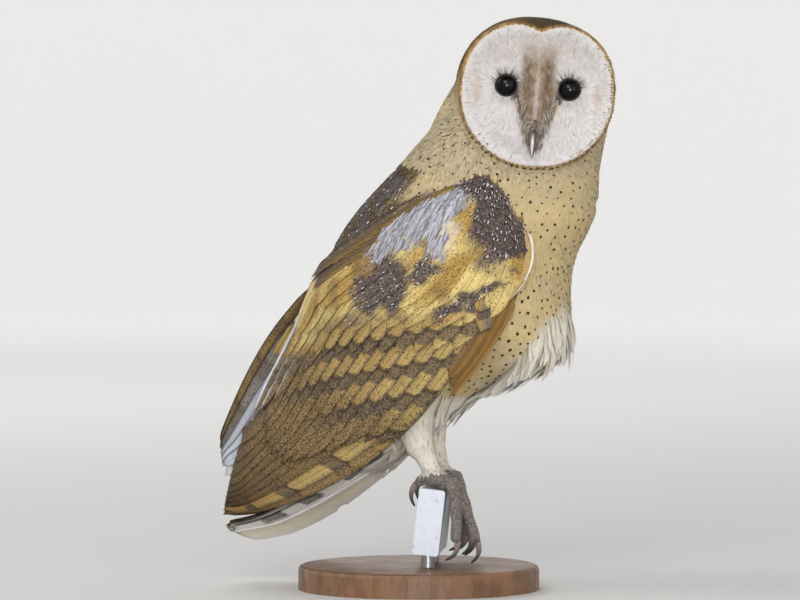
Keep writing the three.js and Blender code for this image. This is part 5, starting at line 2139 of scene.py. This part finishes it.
def claw(node_name):
    """A claw: the frame's taper, rounded, and swollen a little against the rounding's shrinking."""
    taper = mesh_from(merged(node_name), "rounding")
    rounded = modified(taper, "SUBSURF", levels=2, render_levels=2)
    co, tris = corners_of(rounded), triangles_of(rounded)
    co = co + vertex_normals(co, tris) * 0.22 * MM
    toe = surface_of(frame["nodes"][node_name.replace("claw", "toe")].data)
    where, _, _ = nearest_on(toe, co)
    far = np.linalg.norm(co - where, axis=1)
    colours = mix(CLAW_ROOT, CLAW_TIP, ramp(0.001, 0.009, far))
    x, y = co[:, 0] - co[:, 0].mean(), co[:, 1] - co[:, 1].mean()
    uv = np.clip(np.stack([np.arctan2(x, y) / 7 + 0.5, far / 0.014], 1), 0, 1)
    mesh = mesh_of(node_name + "_horn", co, tris, maps={"OFBake": uv}, plume=colours)
    piece_of(node_name + "_horn", mesh, CLAW_HORN, "claw_horn", node_name)


for side in SIDES:
    for toe in TOES:
        claw(f"claw_{side}_{toe}")

# %% [markdown]
# ## The skin's own finish
#
# Under the feathers the skin carries the same markings. On the feet nothing covers it: it is
# grey-brown and divided into small scutes, pressed in here as a cell pattern in the bump.


# %% The skin piece
FOOT_GROOVE, FOOT_DARK, FOOT_PALE = (
    rgba(srgb(*parts)) for parts in ((84, 74, 68), (128, 118, 112), (168, 158, 150))
)
SCUTES_PER_METRE = 900


def foot_skin():
    """Grey-brown skin with the grooves of its scutes."""
    material, w, shader = new_finish("foot_skin", Roughness=0.6)
    place = w.place()
    cells = settle(w.node("ShaderNodeTexVoronoi", feature="DISTANCE_TO_EDGE"), Scale=SCUTES_PER_METRE)
    w.feed(cells.inputs["Vector"], place)
    groove = w.ramped(cells.outputs["Distance"], 0.02, 0.22)
    tone = w.blend(w.noise(place, 160, 3), FOOT_DARK, FOOT_PALE)
    w.feed(shader.inputs["Base Color"], w.blend(groove, FOOT_GROOVE, tone))
    w.press(shader, groove, 0.4 * MM)
    return material


FOOT_SKIN = foot_skin()
skin_colour, skin_fleck = markings(hull_co, hull_normals, hull_parts)
skin_mesh = mesh_of("owl_skin", skin_co, hull_tris, plume=skin_colour, fleck=skin_fleck * 0.5,
                    bar=np.zeros(len(skin_co)), barring=np.zeros(len(skin_co)))
skin_mesh.uv_layers.new(name="vane")
skin_mesh.materials.append(plumage("plumage_skin", barbs=0.0))
skin_mesh.materials.append(FOOT_SKIN)
bare = is_part(tri_parts, "foot") | (is_part(tri_parts, "shank") & (centres[:, 2] < SCALY_TO))
skin_mesh.polygons.foreach_set("material_index", bare.astype(np.int32))
piece_of("owl_skin", skin_mesh, None, "plumage_breast", *FLESH)

# %% Eyes
EYE_BLACK = rgba(srgb(5, 4, 5))
EYE_GLOSS = new_finish("eye_gloss", Base_Color=EYE_BLACK, Roughness=0.03, Specular_IOR_Level=0.18)[0]
for side, sign in SIDES.items():
    middle = from_head(np.array([[sign * EYE_OUT, -EYE_FORWARD, EYE_UP]]))[0]
    made = bmesh.new()
    bmesh.ops.create_uvsphere(made, u_segments=48, v_segments=32, radius=EYE_RADIUS)
    bmesh.ops.translate(made, verts=made.verts, vec=Vector(middle))
    mesh = mesh_from(made, f"eyeball_{side}")
    mesh.shade_smooth()
    piece_of(f"eyeball_{side}", mesh, EYE_GLOSS, "eye_gloss", f"eye_{side}")

# %% [markdown]
# ## Bristles
#
# Round the eyes an owl has fine dark lashes, beside the bill stiff bristles, and on the legs a few
# pale hairs. Each is a thin tapered cone set on a root, so Geometry Nodes place them: the roots
# are the corners of a small mesh that also says which way each bristle points and how long it is.


# %% The bristle nodes
def bristle_tree():
    """Curled cones on root points, aimed and sized by the roots' own attributes."""
    tree, w = new_group(
        "bristles", "GeometryNodeTree", ("Roots", "Geometry", None), ("Slimness", "Float", 0.03),
        ("Curl", "Float", 0.2), ("Uneven", "Float", 0.3), ("Seed", "Int", 1),
        ("Finish", "Material", None), ("Bristles", "Geometry"),
    )
    given = w.node("NodeGroupInput").outputs
    cone = settle(w.node("GeometryNodeMeshCone"), Vertices=4, Side_Segments=4, Radius_Top=0.0, Depth=1.0)
    w.feed(cone.inputs["Radius Bottom"], given["Slimness"])
    along = w.node("ShaderNodeSeparateXYZ")
    w.feed(along.inputs[0], w.node("GeometryNodeInputPosition").outputs[0])
    bow = w.times(w.times(along.outputs["Z"], along.outputs["Z"]), given["Curl"])
    curled = w.node("GeometryNodeSetPosition")
    w.feed(curled.inputs["Geometry"], cone.outputs["Mesh"])
    w.feed(curled.inputs["Offset"], w.made_with("ShaderNodeCombineXYZ", 0, bow))
    aim, long = (
        settle(w.node("GeometryNodeInputNamedAttribute", data_type=kind), Name=name).outputs["Attribute"]
        for name, kind in (("aim", "FLOAT_VECTOR"), ("long", "FLOAT"))
    )
    turn = w.node("FunctionNodeAlignRotationToVector", axis="Z")
    w.feed(turn.inputs["Vector"], aim)
    chance = w.node("FunctionNodeRandomValue", data_type="FLOAT")
    w.feed(chance.inputs[2], w.minus(1.0, given["Uneven"]))
    w.feed(chance.inputs[3], w.plus(1.0, given["Uneven"]))
    w.feed(chance.inputs["Seed"], given["Seed"])
    placed = w.node("GeometryNodeInstanceOnPoints")
    w.feed(placed.inputs["Points"], given["Roots"])
    w.feed(placed.inputs["Instance"], curled.outputs[0])
    w.feed(placed.inputs["Rotation"], turn.outputs[0])
    w.feed(placed.inputs["Scale"], w.times(long, chance.outputs[1]))
    paint = w.node("GeometryNodeSetMaterial")
    w.feed(paint.inputs["Geometry"], w.made_with("GeometryNodeRealizeInstances", 0, placed.outputs[0]))
    w.feed(paint.inputs["Material"], given["Finish"])
    w.feed(w.node("NodeGroupOutput").inputs["Bristles"], paint.outputs[0])
    return tree


BRISTLES = bristle_tree()


def bristle_paint(name, dark, light):
    """Bristle: a stiff barbless shaft, its colour uneven from one to the next."""
    material, w, shader = new_finish(name, Roughness=0.6)
    w.feed(shader.inputs["Base Color"], w.blend(w.noise(w.place(), 600), rgba(dark), rgba(light)))
    return material


def bristles(name, roots, aims, long, slim, curl, seed, paint, slot, chart_name):
    """Bristles on roots, as one plain mesh with a patch of its bake map for each."""
    mesh = bpy.data.meshes.new(name + "_roots")
    mesh.from_pydata(roots.tolist(), [], [])
    made = mesh.attributes.new("aim", "FLOAT_VECTOR", "POINT")
    made.data.foreach_set("vector", unit(aims).astype(np.float32).ravel())
    mesh.attributes.new("long", "FLOAT", "POINT").data.foreach_set("value", long.astype(np.float32))
    wanted = {"Slimness": slim, "Curl": curl, "Uneven": 0.3, "Seed": seed, "Finish": paint}
    sockets = {item.name: item.identifier for item in BRISTLES.interface.items_tree}
    inputs = {sockets[label]: value for label, value in wanted.items()}
    result = modified(mesh, "NODES", inputs, node_group=BRISTLES)
    result.name = name
    co = corners_of(result).reshape(len(roots), -1, 3)
    up = ((co - roots[:, None]) * unit(aims)[:, None]).sum(-1) / long[:, None]
    place = chart(roots, chart_name)[:, None]
    spread_out = np.linspace(-0.5, 0.5, co.shape[1])[None] * np.ones_like(up)
    uv = (place + PATCH * np.stack([spread_out, np.clip(up, 0, 1.4) - 0.5], -1)).reshape(-1, 2)
    layer = result.uv_layers.new(name="OFBake")
    corner = np.zeros(len(result.loops), np.int32)
    result.loops.foreach_get("vertex_index", corner)
    layer.uv.foreach_set("vector", uv[corner].astype(np.float32).ravel())
    return piece_of(name, result, None, slot)


DARK_BRISTLE = bristle_paint("bristle_dark", srgb(46, 34, 32), srgb(84, 68, 62))
BROWN_BRISTLE = bristle_paint("bristle_brown", srgb(72, 54, 42), srgb(132, 112, 94))
PALE_BRISTLE = bristle_paint("bristle_pale", srgb(186, 176, 160), srgb(226, 218, 204))


# %% Lashes, bill bristles and leg hairs
LASH_TRIES, FEELERS, HORN_FEELERS = 150, 900, 460
HAIR_FROM, HAIR_TO = 0.052, 0.1


def lashes(side, sign):
    """Dark lashes round a lid, crowded above the eye and towards the bill."""
    rng = np.random.default_rng(170 + sign)
    angle = rng.uniform(0, 2 * np.pi, LASH_TRIES)
    inward = -sign * np.sin(angle)
    crowd = 0.25 + 0.75 * ramp(-0.2, 0.5, np.cos(angle)) + 0.5 * ramp(0.6, 1, inward)
    angle = angle[rng.random(LASH_TRIES) < crowd]
    s, c = np.sin(angle), np.cos(angle)
    r = LID_OPENING + rng.uniform(0.5, 1.1, len(angle)) * MM
    roots = from_head(across_face(sign * EYE_OUT + r * s, EYE_UP + r * c, -LID_LEVEL + 0.3 * MM))
    aims = across_face(s, c, -0.34) @ HEAD_AXES.T
    long = (2.6 + 2.4 * ramp(-0.2, 0.6, c)) * MM
    bristles(f"lashes_{side}", roots, aims, long, 0.022, 0.2, 171, DARK_BRISTLE, "plumage_head", "face")


def bill_bristles():
    """Stiff feelers down both sides of the bill, crowded along the dark edge of the bridge."""
    rng = np.random.default_rng(180)
    z = rng.uniform(-29, -2, FEELERS)
    edge = np.interp(np.minimum(z, -3), *BRIDGE_EDGE)
    side = rng.choice([-1.0, 1.0], FEELERS)
    x = side * np.clip(edge + rng.normal(-0.8, 1.7, FEELERS), 0.1, 12)
    starts = from_head(across_face(x * MM, z * MM, -0.050))
    roots, _, good = hits_of(hull_tree, starts, INTO_FACE, 0.05)
    inward = -side[good] * np.interp(z[good], [-31, -5], [0.16, 0.42])
    inward = inward + rng.normal(0, 0.16, len(roots))
    facing = on_ground(roots)[1]
    aims = lain(across_face(inward, -1.0) @ HEAD_AXES.T, facing) + 0.3 * facing
    long = rng.uniform(3.4, 6.4, len(roots)) * MM
    # More of them grow on the root of the bill itself, where the horn leaves the feathers.
    horn_tree = surface_of(bpy.data.objects["bill_top"].data)
    places = rng.uniform([-3.6, -50, -20.5], [3.6, -50, -12], (HORN_FEELERS, 3)) * MM
    on_horn, facing, _ = hits_of(horn_tree, from_head(places), INTO_FACE, 0.05)
    ways = across_face(rng.normal(0, 0.22, len(on_horn)), -1.0) @ HEAD_AXES.T
    roots = np.vstack([roots, on_horn])
    aims = np.vstack([aims, lain(ways, facing) + 0.2 * facing])
    long = np.concatenate([long, rng.uniform(3.2, 5.6, len(on_horn)) * MM])
    brown = rng.random(len(roots)) < 0.62
    kinds = (("bill_bristles", brown, BROWN_BRISTLE), ("bill_bristles_pale", ~brown, PALE_BRISTLE))
    for name, some, paint in kinds:
        bristles(name, roots[some], aims[some], long[some], 0.022, 0.08, 181, paint, "plumage_head", "face")


def leg_hairs():
    """A few pale hairs where the feathers of the leg end."""
    height = centres[:, 2]
    rows = is_part(tri_parts, "shank", "foot") & (height > HAIR_FROM) & (height < HAIR_TO)
    roots = spread(rows, 3.4 * MM, 190)
    where, facing = on_ground(roots)
    long = np.full(len(roots), 3.2 * MM)
    aims = facing * 0.55 + 0.8 * DOWN
    bristles("leg_hairs", where, aims, long, 0.02, 0.1, 191, PALE_BRISTLE, "plumage_thigh", "body")


for side, sign in SIDES.items():
    lashes(side, sign)
bill_bristles()
leg_hairs()

# %% [markdown]
# ## The perch and the stand
#
# The owl grips a short piece of painted bar. Paint on a bar chips at its edges and where claws
# rub, and shows the dark metal below. The base is a turned wooden disc with an oiled finish, and
# the rods are brushed steel. All three show wear of the same kind, so the wear is one group with
# its own values.


# %% The wear group
def wear_marks():
    """Mask says where the surface is worn through, and Dust where dust has settled."""
    tree, w = new_group(
        "wear_marks", "ShaderNodeTree", ("Marks per metre", "Float", 120), ("Amount", "Float", 0.2),
        ("Mask", "Float"), ("Dust", "Float"),
    )
    given = w.node("NodeGroupInput").outputs
    place = w.place()
    broad = w.noise(place, given["Marks per metre"], 4, 0.7)
    fine = w.noise(place, w.times(given["Marks per metre"], 4.0), 3, 0.6)
    level = w.minus(0.78, w.times(given["Amount"], 0.5))
    both = w.plus(w.times(broad, 0.7), w.times(fine, 0.3))
    leave = w.node("NodeGroupOutput").inputs
    w.feed(leave["Mask"], w.ramped(both, level, w.plus(level, 0.02)))
    w.feed(leave["Dust"], w.ramped(broad, 0.35, 0.7))
    return tree


WEAR = wear_marks()


def stand_finish(name, colour, worn, rough, marks, amount, metal=0.0, grain=None, depth=0.2):
    """A finish for the stand: a colour with grain, dust and worn marks through to what is below."""
    material, w, shader = new_finish(name, Metallic=metal)
    wear = settle(w.node("ShaderNodeGroup", node_tree=WEAR), Marks_per_metre=marks, Amount=amount)
    base = w.blend(w.times(wear.outputs["Dust"], 0.3), rgba(colour), rgba(colour * 0.8))
    height = wear.outputs["Mask"]
    if grain is not None:
        lines = w.noise(w.stretched(w.place(), grain), 1.0, 5, 0.65)
        base = w.blend(w.ramped(lines, 0.35, 0.7), base, rgba(colour * 0.55))
        height = w.plus(height, lines)
    w.feed(shader.inputs["Base Color"], w.blend(wear.outputs["Mask"], base, rgba(worn)))
    w.feed(shader.inputs["Roughness"], w.plus(rough, w.times(wear.outputs["Dust"], 0.15)))
    w.press(shader, height, depth * MM, invert=True)
    return material


def finished(material, *nodes):
    """Gives frame nodes a finish where they stand."""
    for name in nodes:
        mesh = frame["nodes"][name].data
        mesh.materials.clear()
        mesh.materials.append(material)
        print(name, "finished with", material.name)


bar_paint = stand_finish("perch_paint", srgb(200, 204, 214), srgb(84, 74, 68), 0.45, 210, 0.26)
oiled_wood = stand_finish("base_wood", srgb(124, 88, 60), srgb(96, 66, 44), 0.42, 60, 0.1, grain=(9, 190, 60))
brushed_steel = stand_finish(
    "rod_steel", srgb(168, 170, 172), srgb(128, 128, 128), 0.3, 260, 0.15, 1.0, (900, 900, 12), 0.05
)
finished(bar_paint, "perch")
finished(oiled_wood, "stand_base")
finished(brushed_steel, "stand_rod_left", "stand_rod_right")
